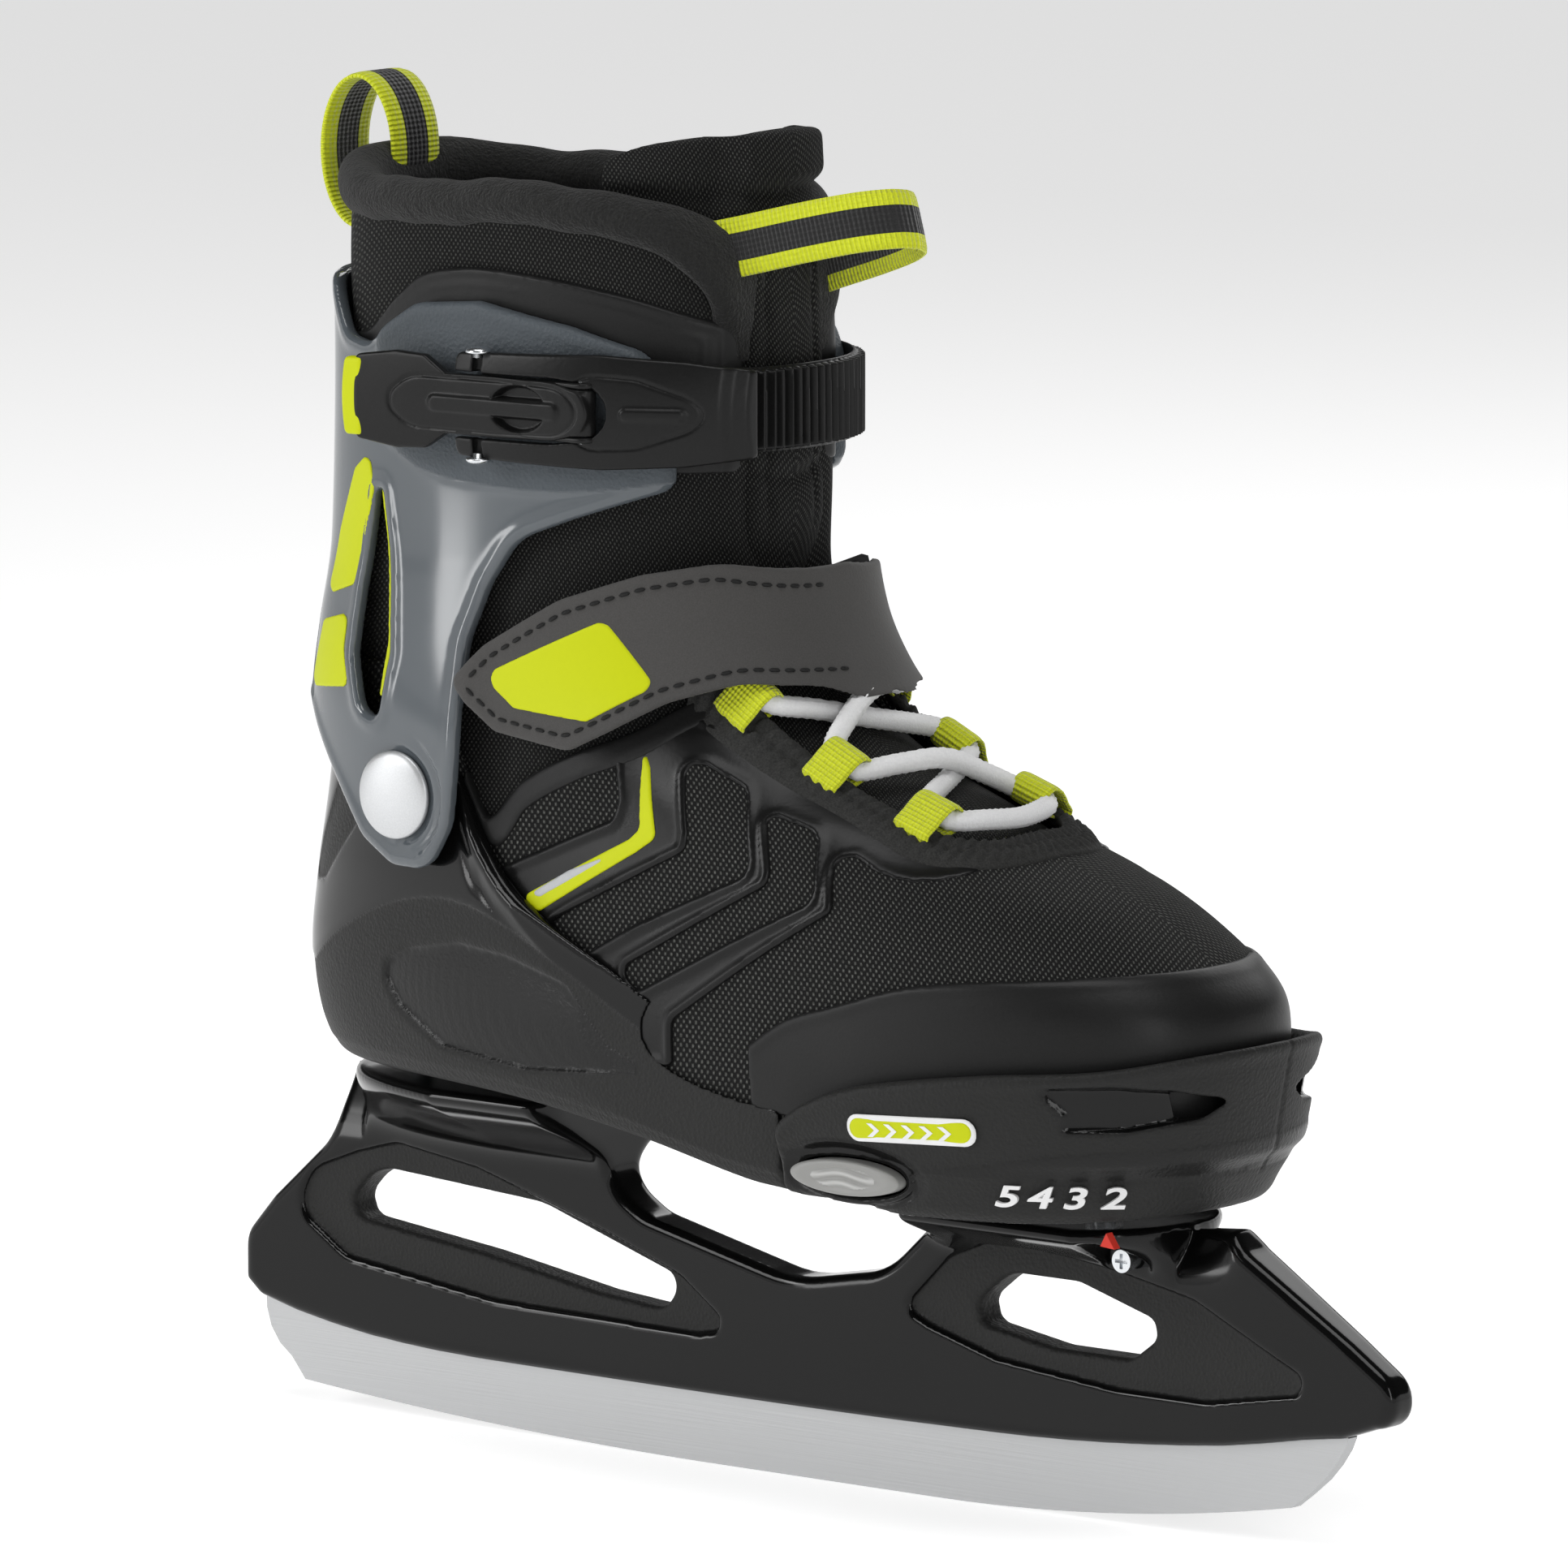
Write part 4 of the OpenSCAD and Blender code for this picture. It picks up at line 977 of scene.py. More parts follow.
# ---------------------------------------------------------------------------------------------
# Floor, lights and camera
# ---------------------------------------------------------------------------------------------
def build_stage():
    """Wide bright floor, wall and lamps."""
    paper = Paint("studio_paper", (0.8, 0.8, 0.8), 0.8, Emission_Color=(1, 1, 1, 1),
                  Emission_Strength=0.64, Specular_IOR_Level=0.0).material
    glow = Paint("backdrop_glow", (0, 0, 0), 1.0, Emission_Color=(1, 1, 1, 1),
                 Emission_Strength=1.0, Specular_IOR_Level=0.0).material
    # a wide floor, and a low bright wall all round it far behind every view
    reach, wall_top, sides = 12000, 2200, 64
    foot = [(reach * math.cos(2 * math.pi * k / sides), reach * math.sin(2 * math.pi * k / sides))
            for k in range(sides)]
    floor = make_mesh("studio_floor", [(px, py, -0.2) for px, py in foot],
                      [tuple(range(sides))], paper, None)
    back = make_mesh("studio_backdrop",
                     [(px, py, -0.2) for px, py in foot] + [(px, py, wall_top) for px, py in foot],
                     [(k, (k + 1) % sides, sides + (k + 1) % sides, sides + k)
                      for k in range(sides)], glow, None)
    world = bpy.data.worlds.new("studio")
    bpy.context.scene.world = world
    world.use_nodes = True
    sky = world.node_tree.nodes["Background"]
    sky.inputs["Color"].default_value = (1, 1, 1, 1)
    sky.inputs["Strength"].default_value = 0.05
    # each lamp: place and size in metres, power in watts
    lamps = [("key", (-0.9, -1.4, 1.0), 0.9, 0.6, 9.5), ("top", (0.2, -0.3, 1.7), 1.2, 0.8, 11.5),
             ("right", (1.7, -0.9, 0.8), 0.4, 1.2, 7), ("back", (-0.3, 1.5, 1.1), 1.2, 0.8, 7.5),
             ("strip", (-1.1, -1.15, 0.35), 0.16, 1.3, 4.5)]
    for name, at, w, h, power in lamps:
        light = bpy.data.lights.new(name, "AREA")
        light.shape = "RECTANGLE"
        light.size = w
        light.size_y = h
        light.energy = power
        lamp = bpy.data.objects.new(name, light)
        bpy.context.scene.collection.objects.link(lamp)
        lamp.location = at
        aim = Vector((-0.02, 0, 0.13)) - Vector(at)
        lamp.rotation_euler = aim.to_track_quat("-Z", "Y").to_euler()


CAMERA_AT = (2.09625, -2.60459, 0.63498)    # metres
CAMERA_TURN = math.radians(39)
CAMERA_LIFT = math.radians(8.3)
FOCAL_LENGTH = 372.67


def build_camera():
    """Long lens, ahead of the skate on its outer side and a little above it."""
    lens = bpy.data.cameras.new("camera")
    lens.lens = FOCAL_LENGTH
    lens.sensor_width = 36
    lens.clip_end = 50
    camera = bpy.data.objects.new("camera", lens)
    bpy.context.scene.collection.objects.link(camera)
    camera.location = CAMERA_AT
    level = math.cos(CAMERA_LIFT)
    back = Vector((math.sin(CAMERA_TURN) * level, -math.cos(CAMERA_TURN) * level,
                   math.sin(CAMERA_LIFT)))
    camera.rotation_euler = (-back).to_track_quat("-Z", "Y").to_euler()
    bpy.context.scene.camera = camera
    bpy.context.scene.view_settings.view_transform = "Standard"


# ---------------------------------------------------------------------------------------------
# Upper: knitted vamp, pressed overlays, toe rand and eyestay
# ---------------------------------------------------------------------------------------------
VAMP_TOP = [[-130, 168], [-96, 168], [-84, 166], [-72, 150], [-63, 138], [-52, 147], [-38, 154],
            [-24, 159.5], [-14, 166], [-4, 172], [10, 180]]


THROAT_X = 38.5          # the laced opening is straight up to here and round ahead of it


def throat(x, y):
    """Distance in plan outside the edge of the laced opening."""
    y = np.abs(y)
    wide = 20.5 + 0.06 * np.clip(20 - x, 0, 40)
    r = 14.5
    return np.hypot(np.maximum(x - THROAT_X, 0), np.maximum(y - wide + r, 0)) - r


def build_vamp():
    """Knitted upper, open at the laces, that stretches as the toe slides."""
    s, x, y, z, g, f = form_space((-128, -46, 76), (114, 46, 176), 0.8)
    skin = -0.35 + 0.5 * bump(throat(x, y), 12, 6) * (z > 132)
    d = layer(g, f, skin, -3.2, 0.8)
    d = smax(d, below(VAMP_TOP, x, z), 0.8)
    # its lower edge is lasted inside the shells
    d = smax(d, np.maximum(curve(SHELL_LOW, x) + 6, curve(TOE_LOW, x) + 6) - z, 0.5)
    hole = np.where(z > 122, throat(x, y), 9.0)
    d = smax(d, -hole, 0.8)
    piece = solid("knitted_vamp", s, d, air_mesh, None)
    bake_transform(piece)
    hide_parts("quarter", "toe_box", "quarter_overlays")


WINDOW_A = [[-66, 157], [-29, 157], [-26, 146], [-27, 142], [-59, 128.5], [-65, 134]]
WINDOW_B = [[-11, 154], [-7, 154], [3, 150], [5, 147], [10, 134], [-19, 121], [-37, 111],
            [-46, 117], [-37, 122], [-7, 137], [-7, 141]]
WINDOW_C = [[11, 145], [13, 145], [21, 143], [23, 141], [27, 130], [9, 121], [-18, 107],
            [-23, 111], [15, 132], [15, 135]]
OVERLAY = [[-70, 92], [-70, 128], [-63, 137], [-52, 147], [-38, 154], [-24, 159.5], [-14, 165],
           [0, 160], [18, 152], [34, 146], [46, 141], [53, 138.4], [57, 136.4], [51, 134.8],
           [46, 134.4], [42, 135], [38, 136], [32, 138.5], [29, 138], [32, 128], [13, 116],
           [-8, 102], [-8, 92]]
LIME_CHEVRON = [[-21.5, 157], [-19, 153], [-15, 139], [-20, 135.6], [-46.5, 120.5], [-52, 123],
                [-22, 138.2], [-19.5, 140.5]]
SILVER_CHEVRON = [[-24, 135.6], [-34, 130], [-46, 123.6], [-48.5, 124.4], [-38, 130.2]]


def build_overlays():
    """Pressed ribs over the mesh on both sides, and their two chevrons."""
    s, x, y, z, g, f = form_space((-71, -46, 90), (66, 46, 168), 0.55)
    area = inside(with_radius(OVERLAY, 2), x, z)
    for window in (WINDOW_A, WINDOW_B, WINDOW_C):
        area = np.maximum(area, -inside(with_radius(window, 3), x, z))
    skin = 0.35 + 0.55 * bump(area, -1.1, 0.8)
    d = layer(g, f, skin, -1.6, 0.3)
    d = smax(d, area, 0.5)
    d = np.maximum(d, np.where(z > 122, 6 - throat(x, y), -9))
    piece = solid("pressed_side_overlays", s, d, moulded_trim, None)
    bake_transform(piece)
    for side in (-1, 1):
        tag = "lateral" if side < 0 else "medial"
        lime = skin_patch("lime_chevron_" + tag, LIME_CHEVRON, 0.8, 1.2, lime_film, "root",
                          side, None, 0.33)
        silver = skin_patch("silver_chevron_" + tag, SILVER_CHEVRON, 0.98, 1.2, silver_film,
                            "root", side, None, 0.33)


RAND_TOP = [[10, 97], [22, 105], [34, 109], [54, 115], [83, 118], [100, 119], [118, 119]]


def build_rand():
    """Smooth wrap round the toe, above the toe shell."""
    s, x, _, z, g, f = form_space((12, -47, 84), (114, 47, 121), 0.6)
    under = below(RAND_TOP, x, z)
    skin = 0.65 + 0.25 * bump(under, -1.3, 0.9)
    d = layer(g, f, skin, -1.4, 0.4)
    d = smax(d, under, 0.5)
    d = smax(d, np.maximum(13 - x, 85 - z), 0.5)
    piece = solid("toe_rand_wrap", s, d, satin, None)
    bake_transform(piece)
    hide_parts("toe_rand")


def build_eyestay():
    """Corded binding round the laced opening."""
    s, x, y, z, g, f = form_space((-15, -36, 128), (78, 36, 172), 0.5)
    t = throat(x, y)
    away = (g + 0.2) * f
    along = np.where(x < THROAT_X, x, THROAT_X + 24 * np.arctan2(x - THROAT_X, y + 1e-3))
    # two twisted cords side by side on a tape
    d = 9.0
    for row, phase in ((1.7, 0.0), (5.0, 1.4)):
        twist = 0.42 * np.sin(along * 2 * math.pi / 2.9 + (t - row) * 1.3 + phase)
        rope = np.hypot((t - row) * 0.9, away * 0.9) - 1.55 - twist
        d = np.minimum(d, rope)
    tape = smax(np.abs(away) - 0.8, np.abs(t - 3.4) - 4.2, 0.5)
    d = smin(d, tape, 0.5)
    d = smax(d, 134 - z, 0.5)
    piece = solid("eyestay_binding", s, d, binding, None, 1)
    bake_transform(piece)
    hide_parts("eyestay")


def build_root_edge():
    """Satin binding along the edge where the strap's base meets the upper."""
    s, x, _, z, g, f = form_space((-72, -45, 126), (-6, 45, 174), 0.6)
    off = below(VAMP_TOP, x, z)
    d = layer(g, f, 0.9, -2.2, 0.6)
    d = smax(d, np.abs(off + 2.2) - 2.9, 1.0)
    d = smax(d, -70 - x, 0.5)
    piece = solid("strap_root_binding", s, d, satin, "root")


# ---------------------------------------------------------------------------------------------
# Shaft, padded rim, facing and tongue
# ---------------------------------------------------------------------------------------------
LINER_HIGH = [[-126, 264], [-90, 263.4], [-54, 265.4], [-30, 262.4], [-19, 256], [-12, 247]]
SHAFT_END = [[130, 10], [150, 4], [165, -6], [176, -11], [195, -13], [300, -13]]
COLLAR_Z = [[-130, 268.5], [-112, 267], [-90, 266], [-60, 267.8], [-40, 267], [-26, 263.5],
            [-17, 257], [-12, 249]]
FACING_HIGH = [[-127, 236], [-100, 238], [-88, 246.5], [-79, 252], [-60, 254], [-31, 250],
               [-13, 243.5]]


def build_shaft():
    """Padded lining of the boot's shaft."""
    s, x, _, z, g, f = form_space((-127, -39, 132), (2, 39, 266), 0.8)
    tuck = 1.2 * step_up(170 - z, -8, 8)
    puff = 0.5 * np.sin(z * 0.13 + x * 0.05) * step_up(z, 176, 190)
    d = layer(g, f, puff - 0.3 - tuck, -4.3, 0.8)
    d = smax(d, below(LINER_HIGH, x, z), 1.0)
    d = smax(d, x - curve(SHAFT_END, z), 0.8)
    d = smax(d, 133 - z, 0.5)
    piece = solid("padded_shaft", s, d, liner_mesh, None)
    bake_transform(piece)
    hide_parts("cuff_liner")


def build_collar():
    """Fleece roll round the top, and down the shaft's front edge."""
    s, x, _, z, g, f = form_space((-131, -44, 234), (-10, 44, 283), 0.7)
    lumps = 0.3 * np.sin(x * 0.21 + 1) + 0.2 * np.sin(x * 0.47)
    heel = step_up(-x, 96, 122)
    tall = 4.9 + 1.6 * heel
    high = below(COLLAR_Z, x, z) - lumps
    d = (np.hypot((g + 2.6) * f / 5.0, high / tall) - 1) * 4.9
    # the fleece runs down the front edge of the shaft
    edge = (np.hypot((g + 2.2) * f / 2.7, (x + 14.6) / 2.6) - 1) * 2.6
    d = smin(d, np.maximum(edge, np.abs(z - 247) - 11), 2.0)
    d = smax(d, x + 12, 1.0)
    piece = solid("fleece_rim", s, d, rim_fleece, "cuff", 3)
    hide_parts("collar")


def build_facing():
    """Sewn panel between the cuff's upper edge and the rim."""
    s, x, _, z, g, f = form_space((-128, -41, 212), (-12, 41, 256), 0.55)
    under = below(FACING_HIGH, x, z)
    border = np.maximum(under, x + 13.2)
    skin = 0.6 + 0.3 * bump(border, -0.9, 0.6) + 0.22 * bump(border, -3.4, 0.45)
    d = layer(g, f, skin, -1.6, 0.3)
    d = smax(d, border, 0.5)
    d = smax(d, 213 - z, 0.4)
    piece = solid("liner_facing_panel", s, d, satin, "cuff")
    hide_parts("liner_facing")


def build_tongue():
    """Tongue from under the laces to its padded head, ribbed down the middle."""
    s, x, y, z, g, f = form_space((-42, -32, 134), (64, 32, 287), 0.7)
    # above the instep the tongue's sides tuck in behind the shaft's front edges
    rise = step_up(z, 186, 205)
    tuck = rise * step_up(y, 11, 15.5)
    top = 283.5 - 0.005 * y**2
    skin = -5.2 + 5.0 * rise - 5.6 * tuck
    pad = step_up(z, 270.5, 275)
    skin = skin + (2.4 + 0.6 * tuck) * pad + 0.8 * bump(y, 0, 13) * (1 - rise)
    skin = skin - 1.2 * bump(z, 270.5, 1.6)
    plain = step_up(z, 196, 206) * (1 - step_up(z, 254, 259))
    ribs = 0.3 * np.sin(z * 0.62) * plain * (y < 7)
    skin = skin - 0.8 * bump(y, 7.6, 0.8) * plain + ribs
    skin = skin - 1.1 * bump(z - 211 - 0.02 * y**2, 0, 1.6)
    d = layer(g, f, skin, skin - 4.6 - 1.2 * pad, 1.8)
    d = smax(d, smax(y - 20.5 - 7.0 * rise, z - top, 7.0), 2.4)
    d = smax(d, -40 - x, 1.0)
    d = np.where(z < 172, np.maximum(d, throat(x, y) - 1.5), d)
    piece = solid("padded_tongue", s, d, liner_mesh, None)
    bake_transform(piece)
    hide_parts("tongue_lower", "tongue_upper")


def build_footbed():
    """Insole that rises at its edge round the heel."""
    s, x, _, z, g, f = form_space((-122, -40, 76), (98, 40, 99), 0.8)
    top = curve([[-140, 90.5], [-60, 90], [-10, 83], [30, 79.2], [120, 79.2]], x)
    rim = 2.4 * step_up(g, -22, -8) * step_up(20 - x, -40, 40)
    d = smax(z - top - rim, top - 3 - z, 1.0)
    d = smax(d, (g + 7.2) * f, 1.2)
    d = smax(d, x - 92, 2.0)
    piece = solid("footbed", s, d, liner_mesh, "root")
    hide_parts("insole")


# ---------------------------------------------------------------------------------------------
# Instep strap
# ---------------------------------------------------------------------------------------------
STRAP = [[-66, 168, 4], [-57, 176.5, 10], [-39, 187, 14], [-22, 193, 14], [-9, 195.5, 12],
         [0, 193, 6], [18, 187, 0], [18, 163, 0], [8, 170, 8], [-2, 171, 10],
         [-14, 167, 12], [-25, 160.6, 12], [-34, 156, 5], [-54, 158.4, 5], [-62, 164, 4]]
HEXAGON = [[-55, 169.5], [-54, 171.5], [-29.5, 183], [-27.5, 182.5], [-17.3, 171.2],
           [-18.3, 169.2], [-30, 162.4], [-48.5, 163.8], [-54, 167.5]]


def strap_level(x):
    """Level of the strap's outside, which bows out a little at its tip."""
    return 9.1 + 0.8 * step_up(-54 - x, 0, 8)


def build_strap():
    """Strap over the instep, with the hexagon on its free end."""
    s, x, y, z, g, f = form_space((-69, -52, 150), (17, 46, 200), 0.5, mirror=False)
    # past the middle of the instep the strap runs downwards
    outline = inside(rounded(STRAP), x, z + 0.2 * np.maximum(y - 6, 0))
    top = strap_level(x)
    d = layer(g, f, top, top - 1.9, 0.5)
    d = smax(d, outline, 0.7)
    # its far end stops at the ring
    d = np.maximum(d, np.where(y > 0, -21 - x, -90))
    piece = solid("instep_strap", s, d, microfibre, None)
    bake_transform(piece)
    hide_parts("strap_band", "strap_tip")
    hexagon = skin_patch("strap_hexagon", HEXAGON, 9.4, 1.1, lime_film, None, -1, None, 0.3)
    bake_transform(hexagon)


def inset(outline, by):
    """The outline moved inwards along its normals."""
    out = []
    m = len(outline)
    for i in range(m):
        ax, az = outline[i - 1][0], outline[i - 1][1]
        bx, bz = outline[(i + 1) % m][0], outline[(i + 1) % m][1]
        size = math.hypot(bx - ax, bz - az) or 1.0
        out.append((outline[i][0] + by * (bz - az) / size,
                    outline[i][1] - by * (bx - ax) / size))
    return out


def stitches(name, path, material, length=2.4, pitch=3.4, r=0.42):
    """Row of thread dashes along a path of 3-D points."""
    path = [Vector(p) for p in path]
    marks = [0.0]
    for a, b in zip(path, path[1:]):
        marks.append(marks[-1] + (b - a).length)

    def at(distance):
        k = min(max(np.searchsorted(marks, distance) - 1, 0), len(path) - 2)
        t = (distance - marks[k]) / max(marks[k + 1] - marks[k], 1e-6)
        return path[k].lerp(path[k + 1], t)

    points, faces = [], []
    for n in range(int(marks[-1] / pitch)):
        a, b = at(n * pitch), at(n * pitch + length)
        if (b - a).length < 0.5 * length:
            continue
        along = (b - a).normalized()
        side = along.orthogonal().normalized()
        up = along.cross(side)
        base = len(points)
        for t, k in ((0.0, 0.25), (0.18, 1.0), (0.5, 1.1), (0.82, 1.0), (1.0, 0.25)):
            for j in range(6):
                c = math.pi / 3 * j
                p = a.lerp(b, t) + (side * math.cos(c) + up * math.sin(c)) * r * k
                points.append(tuple(p))
        for i in range(4):
            for j in range(6):
                m = (j + 1) % 6
                faces.append((base + 6 * i + j, base + 6 * i + m, base + 6 * i + 6 + m,
                              base + 6 * i + 6 + j))
        faces.append(tuple(base + j for j in range(5, -1, -1)))
        faces.append(tuple(base + 24 + j for j in range(6)))
    return make_mesh(name, points, faces, material, None)


def build_strap_stitching():
    """Seam that runs round the strap on its visible side."""
    steps = 60
    inner = inset(rounded(STRAP), 3.0)
    start = max(range(len(inner)), key=lambda i: inner[i][0])
    ring = [inner[(start - k) % len(inner)] for k in range(len(inner) + 1)]
    seam = []
    for a, b in zip(ring, ring[1:]):
        for k in range(steps):
            px, pz = a[0] + (b[0] - a[0]) * k / steps, a[1] + (b[1] - a[1]) * k / steps
            reach = float(half(px, pz, strap_level(px) + 0.05))
            if reach > 3 and px < 13:
                seam.append((px, -reach, pz))
    piece = stitches("strap_stitches", seam, thread)
    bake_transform(piece)


# ---------------------------------------------------------------------------------------------
# Lace and webbing
# ---------------------------------------------------------------------------------------------
# points of the lace: x, y and height over the form
LACE = [[-13, -19, 3], [-9, -20.5, 3.4], [-6, -21.6, 4], [-2.5, -21.6, 4.1], [1, -20.6, 3.8],
        [5, -12, 0.8], [9.5, 0, 0], [12, 10, 0.8], [14.5, 17.5, 2.9], [18.5, 18.5, 3.1],
        [22, 18.1, 2.9], [26, 10, 1], [30, 0, 0.4], [33.5, -9, 0.8], [37, -16, 2],
        [41, -16.6, 2.8], [44.6, -15.6, 2.5], [48, -9, 2.5], [49.5, 0, 2.3], [48, 9, 2.5],
        [44.6, 15.6, 2.5], [41, 16.6, 2.8], [37, 16, 2], [33.5, 9, 3.4], [30, 0, 5.4],
        [26, -10, 3.8], [22, -18.1, 2.9], [18.5, -18.5, 3.1], [14.5, -17.5, 2.9],
        [12, -10, 3.6], [9.5, 0, 5.3], [5, 12, 3.8], [1, 20.6, 3.8], [-2.5, 21.6, 4.1],
        [-6, 21.6, 4], [-9, 20.5, 3.4], [-13, 19, 3]]
# each pair of loops: x, y, height over the form, then its slope and tilt in degrees
LOOPS = [[-2.5, 21.6, 4.1, 32, 45], [18.5, 18.5, 3.1, 25, 30], [41, 16.6, 2.8, 18, 20]]


def spline(points, k):
    """Smooth curve through the points, with k steps between each two."""
    p = [np.array(q, float) for q in points]
    out = []
    for i in range(len(p) - 1):
        a, b, c, d = p[max(i - 1, 0)], p[i], p[i + 1], p[min(i + 2, len(p) - 1)]
        for j in range(k):
            t = j / k
            out.append(0.5 * (2 * b + (c - a) * t + (2 * a - 5 * b + 4 * c - d) * t**2
                              + (3 * b - a - 3 * c + d) * t**3))
    out.append(p[-1])
    return out


LACE_R = 2.1
LACE_SIDES = 24
PLAIT_DEPTH = 0.24


def build_lace():
    """Braided cord through the six loops."""
    knots = [(p[0], p[1], top_z(p[0], p[1]) + p[2]) for p in LACE]
    line = [Vector(p) for p in spline(knots, 12)]
    rows = []
    side = Vector((0.3, 0.5, 0.8))
    travelled = 0.0
    for i, p in enumerate(line):
        a, b = line[max(i - 1, 0)], line[min(i + 1, len(line) - 1)]
        along = (b - a).normalized()
        side = (side - along * side.dot(along)).normalized()
        up = along.cross(side)
        if i:
            travelled += (p - line[i - 1]).length
        row = []
        for k in range(LACE_SIDES):
            c = 2 * math.pi * k / LACE_SIDES
            plait = math.cos(6 * c + travelled * 2.1) * math.cos(6 * c - travelled * 2.1)
            r = LACE_R + PLAIT_DEPTH * plait
            row.append(tuple(p + (side * math.cos(c) + up * math.sin(c)) * r))
        rows.append(row)
    rows = [[tuple(line[0])] * LACE_SIDES] + rows + [[tuple(line[-1])] * LACE_SIDES]
    piece = grid_mesh("braided_lace", rows, white_lace, "root", closed=True)
    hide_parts("lace")


def ribbon(name, path, wide, width, thick, material, body, columns=8):
    """Flat band along a path. wide gives the direction across it, one for all or one each."""
    path = [Vector(p) for p in path]
    rows, across, along = [], [], []
    travelled = 0.0
    for i, p in enumerate(path):
        a, b = path[max(i - 1, 0)], path[min(i + 1, len(path) - 1)]
        w = Vector(wide[i] if isinstance(wide, list) else wide).normalized()
        out = (b - a).normalized().cross(w)
        if i:
            travelled += (p - path[i - 1]).length
        row, share = [], []
        for face in (1, -1):
            for k in range(columns + 1):
                t = k / columns if face > 0 else 1 - k / columns
                edge = 1 - 0.55 * abs(2 * t - 1) ** 8
                row.append(tuple(p + w * (t - 0.5) * width + out * face * thick / 2 * edge))
                share.append(t)
        rows.append(row)
        across += share
        along += [travelled] * len(share)
    piece = grid_mesh(name, rows, material, body, closed=True)
    paint(piece, "across", across)
    paint(piece, "along", along)
    return piece


def build_lace_loops():
    """Webbing loops, each folded round the lace and sewn to the eyestay."""
    first = None
    for n, (lx, ly, lift, pitch, tilt) in enumerate(LOOPS):
        for side in (-1, 1):
            z = top_z(lx, ly) + lift
            pitch_r, tilt_r = math.radians(pitch), math.radians(tilt)
            tangent = Vector((math.cos(pitch_r), 0, -math.sin(pitch_r)))
            outward = Vector((0, side * math.cos(tilt_r), -math.sin(tilt_r)))
            outward = (outward - tangent * outward.dot(tangent)).normalized()
            up = tangent.cross(outward) * -side
            if up.z < 0:
                up = -up
            flat = [(7.6, -3.6), (5.5, -2.8), (3.5, -2.7), (1.5, -2.85)]
            fold = [(3.0 * math.cos(math.radians(a)), 3.0 * math.sin(math.radians(a)))
                    for a in range(-100, -281, -15)]
            back = [(1.5, 2.8), (3.4, 2.0), (5.2, 1.0), (7.0, 0.3), (7.8, -0.1), (8.1, -0.7),
                    (8.2, -4.0)]
            centre = Vector((lx, side * ly, z))
            path = [centre + outward * u + up * v for u, v in flat + fold + back]
            piece = ribbon("lace_loop_%d_%s" % (n + 1, "lateral" if side < 0 else "medial"),
                           path, tangent, 9.5, 0.9, lime_web, "root")
            first = first or piece
    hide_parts("lace_loops")


def build_pull_loops():
    """Webbing loops at the front and the back of the rim."""
    half_loop = spline([(-19, -15.6), (-12, -13.9), (2, -11.8), (13, -8.8), (19.5, -4.4), (21.2, 0)], 5)
    plan = half_loop + [(p[0], -p[1]) for p in reversed(half_loop[:-1])]
    path = [(px, py, 257 + 0.28 * (px + 14) - 0.2 * py) for px, py in plan]
    front = ribbon("front_pull_webbing", path, (-0.28, 0, 1), 12.5, 1.3, loop_web, "cuff", 12)
    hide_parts("front_pull_loop")
    # the rear loop is most of an ellipse, open where it is sewn into the rim
    path = []
    for k in range(41):
        a = math.radians(-28 + 292 * k / 40)
        path.append((-123 + 9.8 * math.cos(a), 0.0, 272 + 16 * math.sin(a)))
    rear = ribbon("rear_pull_webbing", path, (0, 1, 0), 15, 1.5, loop_web, "cuff", 12)
    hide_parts("rear_pull_loop")


# ---------------------------------------------------------------------------------------------
# Buckle and ratchet strap
# ---------------------------------------------------------------------------------------------
ARM_PIN = (25, 2.6)      # the arm's pin from the lever's: back along the lever, and outwards


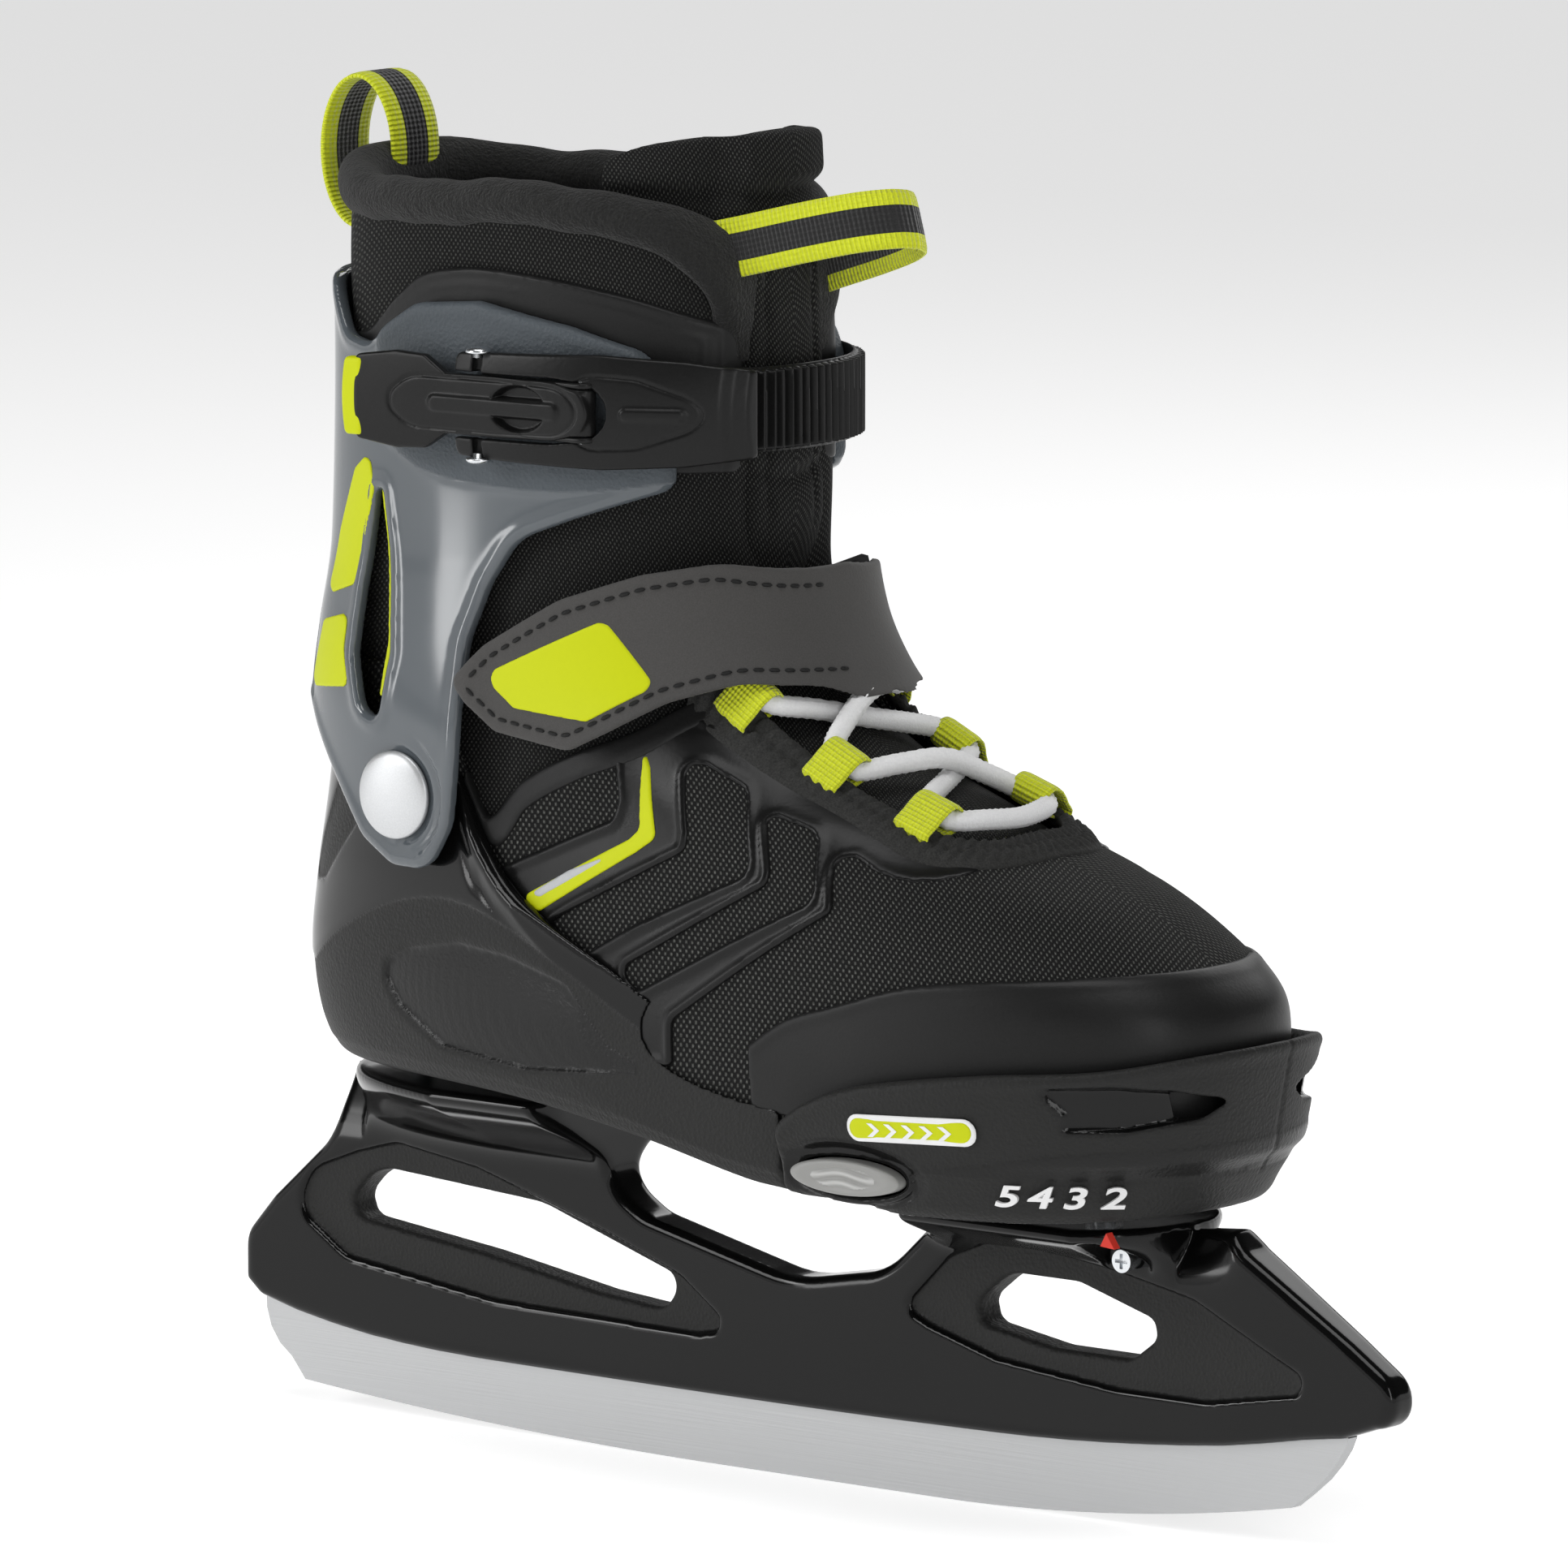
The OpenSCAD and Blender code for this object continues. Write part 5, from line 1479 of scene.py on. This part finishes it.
def build_arm():
    """Curved arm that grips the ratchet strap, and the pin that joins the lever."""
    s = Space((-66, -50, 213), (0, -20, 240), 0.3)
    x, y, z = s.x, s.y, s.z - BUCKLE_MID
    r = np.hypot(x - ARM_CENTRE[0], y - ARM_CENTRE[1])
    shape = [[-63.8, -10.8, 1.5], [-52, -11.3, 9], [-30, -12, 20], [-14, -11, 9],
             [-3.2, -9.3, 1], [-3.2, 9.3, 1], [-14, 11, 9], [-30, 12, 20], [-52, 11.3, 9],
             [-63.8, 10.8, 1.5]]
    slot = [[-80, -6.9, 0], [-40, -6.9, 9], [-30, -5.6, 7], [-26.6, 0, 5], [-30, 5.6, 7],
            [-40, 6.9, 9], [-80, 6.9, 0]]
    almond = [[-36, -8, 6], [-22, -7.2, 10], [-12, -3.4, 7], [-9, 0, 3], [-12, 3.4, 7],
              [-22, 7.2, 10], [-36, 8, 6]]
    edge = inside(rounded(shape), x, z)
    hole = inside(rounded(slot), x, z)
    leaf = inside(rounded(almond), x, z)
    rib = np.hypot(np.maximum(np.abs(x + 18.5) - 4.8, 0), z) - 1.2
    face = ARM_R - 0.5 * crisp(np.abs(leaf) - 0.2, 0.3) - 0.012 * z**2
    face = face + 0.6 * crisp(rib, 0.4) - 0.9 * step_up(x, -7.5, -5.5)
    d = smax(r - face, ARM_R - 3.4 - r, 0.5)
    d = smax(d, edge, 0.6)
    d = smax(d, -hole, 0.5)
    # the pin that joins it to the lever, placed by the lever's length and tilt
    back, out = ARM_PIN
    px = HINGE[0] - back * math.cos(LEVER_TILT) + out * math.sin(LEVER_TILT)
    py = HINGE[1] - back * math.sin(LEVER_TILT) - out * math.cos(LEVER_TILT)
    d = np.maximum(d, 1.35 - np.hypot(x - px, y - py))
    piece = solid("ratchet_arm", s, d, buckle_plastic, "arm", 1)
    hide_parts("buckle_arm")
    profile = [[0.01, -1], [1.2, -1], [1.2, 0], [2.6, 0], [2.75, 0.3], [2.4, 0.85],
               [1.5, 1.2], [0.01, 1.35]]
    for side in (-1, 1):
        head = lathe("arm_pin_head_%s" % ("low" if side < 0 else "high"), profile,
                     (px, py, BUCKLE_MID + side * 11.0), (0, 0, side), zinc, "lever", 32)
    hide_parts("arm_pin")


def build_buckle_base():
    """Plate that is riveted to the cuff, with two ears that hold the lever's pin."""
    s = Space((-62, -45, 217), (-28, -36, 236), 0.3)
    x, y, z = s.x, s.y, np.abs(s.z - BUCKLE_MID)
    plate = smax(np.abs(y + 41.4) - 0.6, np.maximum(np.abs(x + 49) - 11, z - 6.3), 0.5)
    ear = np.maximum(np.abs(z - 5.65) - 0.6, np.abs(x + 37) - 7.4)
    ear = smax(ear, np.maximum(np.hypot(np.maximum(x + 33, 0), y + 41) - 2.8, y + 38), 0.3)
    d = smin(plate, ear, 0.4)
    piece = solid("buckle_base_plate", s, d, buckle_plastic, "cuff", 1)
    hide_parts("buckle_base")
    pin = lathe("lever_hinge_pin", [[0.01, -6.5], [1.25, -6.5], [1.25, 6.5], [0.01, 6.5]],
                (HINGE[0], HINGE[1], BUCKLE_MID), (0, 0, 1), zinc, "cuff", 24)
    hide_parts("lever_pin")


def build_lever():
    """Made about its own hinge, then turned and moved to its place."""
    s = Space((-61, -7, -11), (5, 4, 11), 0.3)
    x, y, z = s.x, s.y, s.z
    shape = [[-56, -8.8, 1.2], [-46, -10.2, 5], [-38.5, -9.8, 1.5], [-33, -6.3, 1.5],
             [-20, -6.4, 8], [-6, -6.1, 9], [1.2, -4.2, 4], [3.2, 0, 4], [1.2, 4.2, 4],
             [-6, 6.1, 9], [-20, 6.4, 8], [-33, 6.3, 1.5], [-38.5, 9.8, 1.5],
             [-46, 10.2, 5], [-56, 8.8, 1.2]]
    almond = [[-49, 0, 4], [-42, -5.4, 9], [-20, -5.5, 12], [-4, -5.0, 8], [1.6, 0, 4],
              [-4, 5.0, 8], [-20, 5.5, 12], [-42, 5.4, 9]]
    edge = inside(rounded(shape), x, z)
    leaf = inside(rounded(almond), x, z)
    rib = np.hypot(np.maximum(np.abs(x + 20.5) - 14.5, 0), z) - 1.7
    eyes = np.maximum(np.hypot((x + 14.5) / 6.6, z / 4.7) - 1, (1.9 - np.abs(z)) * 0.3) * 4.7
    out = curve([[-60, 4.6], [-45, 4.5], [-30, 4.1], [-10, 3.7], [4, 3.1]], x)
    out = out - 0.5 * crisp(np.abs(leaf) - 0.2, 0.3) - 0.010 * z**2
    out = out + 0.6 * crisp(rib, 0.4) - 2.0 * crisp(eyes, 0.3)
    inner = curve([[-60, 1.6], [-36, 1.3], [-20, 1.2], [4, 0.6]], x)
    d = smax(-y - out, y + inner, 0.5)
    d = smax(d, edge, 0.5)
    knuckle = np.maximum(np.hypot(x, y) - 2.6, np.abs(z) - 4.9)
    d = smin(d, knuckle, 0.6)
    d = np.maximum(d, 1.3 - np.hypot(x, y))
    piece = solid("buckle_lever_plate", s, d, buckle_plastic, None, 1)
    tab = Space((-61, -6, -9.5), (-53, 1, 9.5), 0.3)
    e = smax(np.abs(tab.y + 2.9) - 1.5, np.abs(tab.z) - 8.2, 1.0)
    e = smax(e, np.maximum(-59.4 - tab.x + 0.012 * tab.z**2, tab.x + 54), 1.0)
    tip = solid("lever_grip_tab", tab, e, lime_film, None, 1)
    place = (Matrix.Translation(Vector((HINGE[0], HINGE[1], BUCKLE_MID)) * MM)
             @ Matrix.Rotation(LEVER_TILT, 4, "Z"))
    for part in (piece, tip):
        part.data.transform(place)
        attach(part, "lever")
    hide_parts("buckle_lever")
    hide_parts("lever_tab")


TOOTH_PITCH = 2.35
LADDER_R = 46            # from the middle of the shaft to the teeth, for their pitch


def build_ladder():
    """Ratchet strap round the front of the cuff, with the keeper it runs through."""
    s, x, y, z, g, f = form_space((-69, -34, 213), (2, 49, 240), 0.36, mirror=False)
    z = z - BUCKLE_MID
    turn = np.arctan2(y, x + 50)
    ridge = np.abs(((turn * LADDER_R / TOOTH_PITCH) % 1) - 0.5) * 2
    ridged = np.clip((1.75 - turn) * 8, 0, 1)
    skin = 4.9 + 2.1 * (1 - ridge) * ridged * (np.abs(z) < 8.4) + 1.0 * (1 - ridged)
    keeper = np.abs(turn - 1.6) < 0.06
    skin = np.where(keeper, 8.2, skin)
    d = layer(g, f, skin, 4.3, 0.2)
    d = smax(d, np.abs(z) - np.where(keeper, 11.2, 9.0), 0.3)
    d = np.maximum(d, -66 - x)
    d = np.maximum(d, np.where(y < 0, -22 - x, -90))
    d = np.maximum(d, np.where(y > 0, 2.1 - np.hypot(x + 60, z), -90))
    piece = solid("ratchet_strap", s, d, buckle_plastic, "cuff", 0)
    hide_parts("ladder_strap")


for build in (build_stage, build_camera, dress_nodes, build_holder, build_base_shell,
              build_toe_shell, build_button, build_badge, build_numerals, build_cuff,
              build_cuff_trim, build_caps, build_vamp, build_overlays, build_rand, build_eyestay,
              build_root_edge, build_shaft, build_collar, build_facing, build_tongue,
              build_footbed, build_strap, build_strap_stitching, build_lace, build_lace_loops,
              build_pull_loops, build_arm, build_buckle_base, build_lever, build_ladder):
    build()
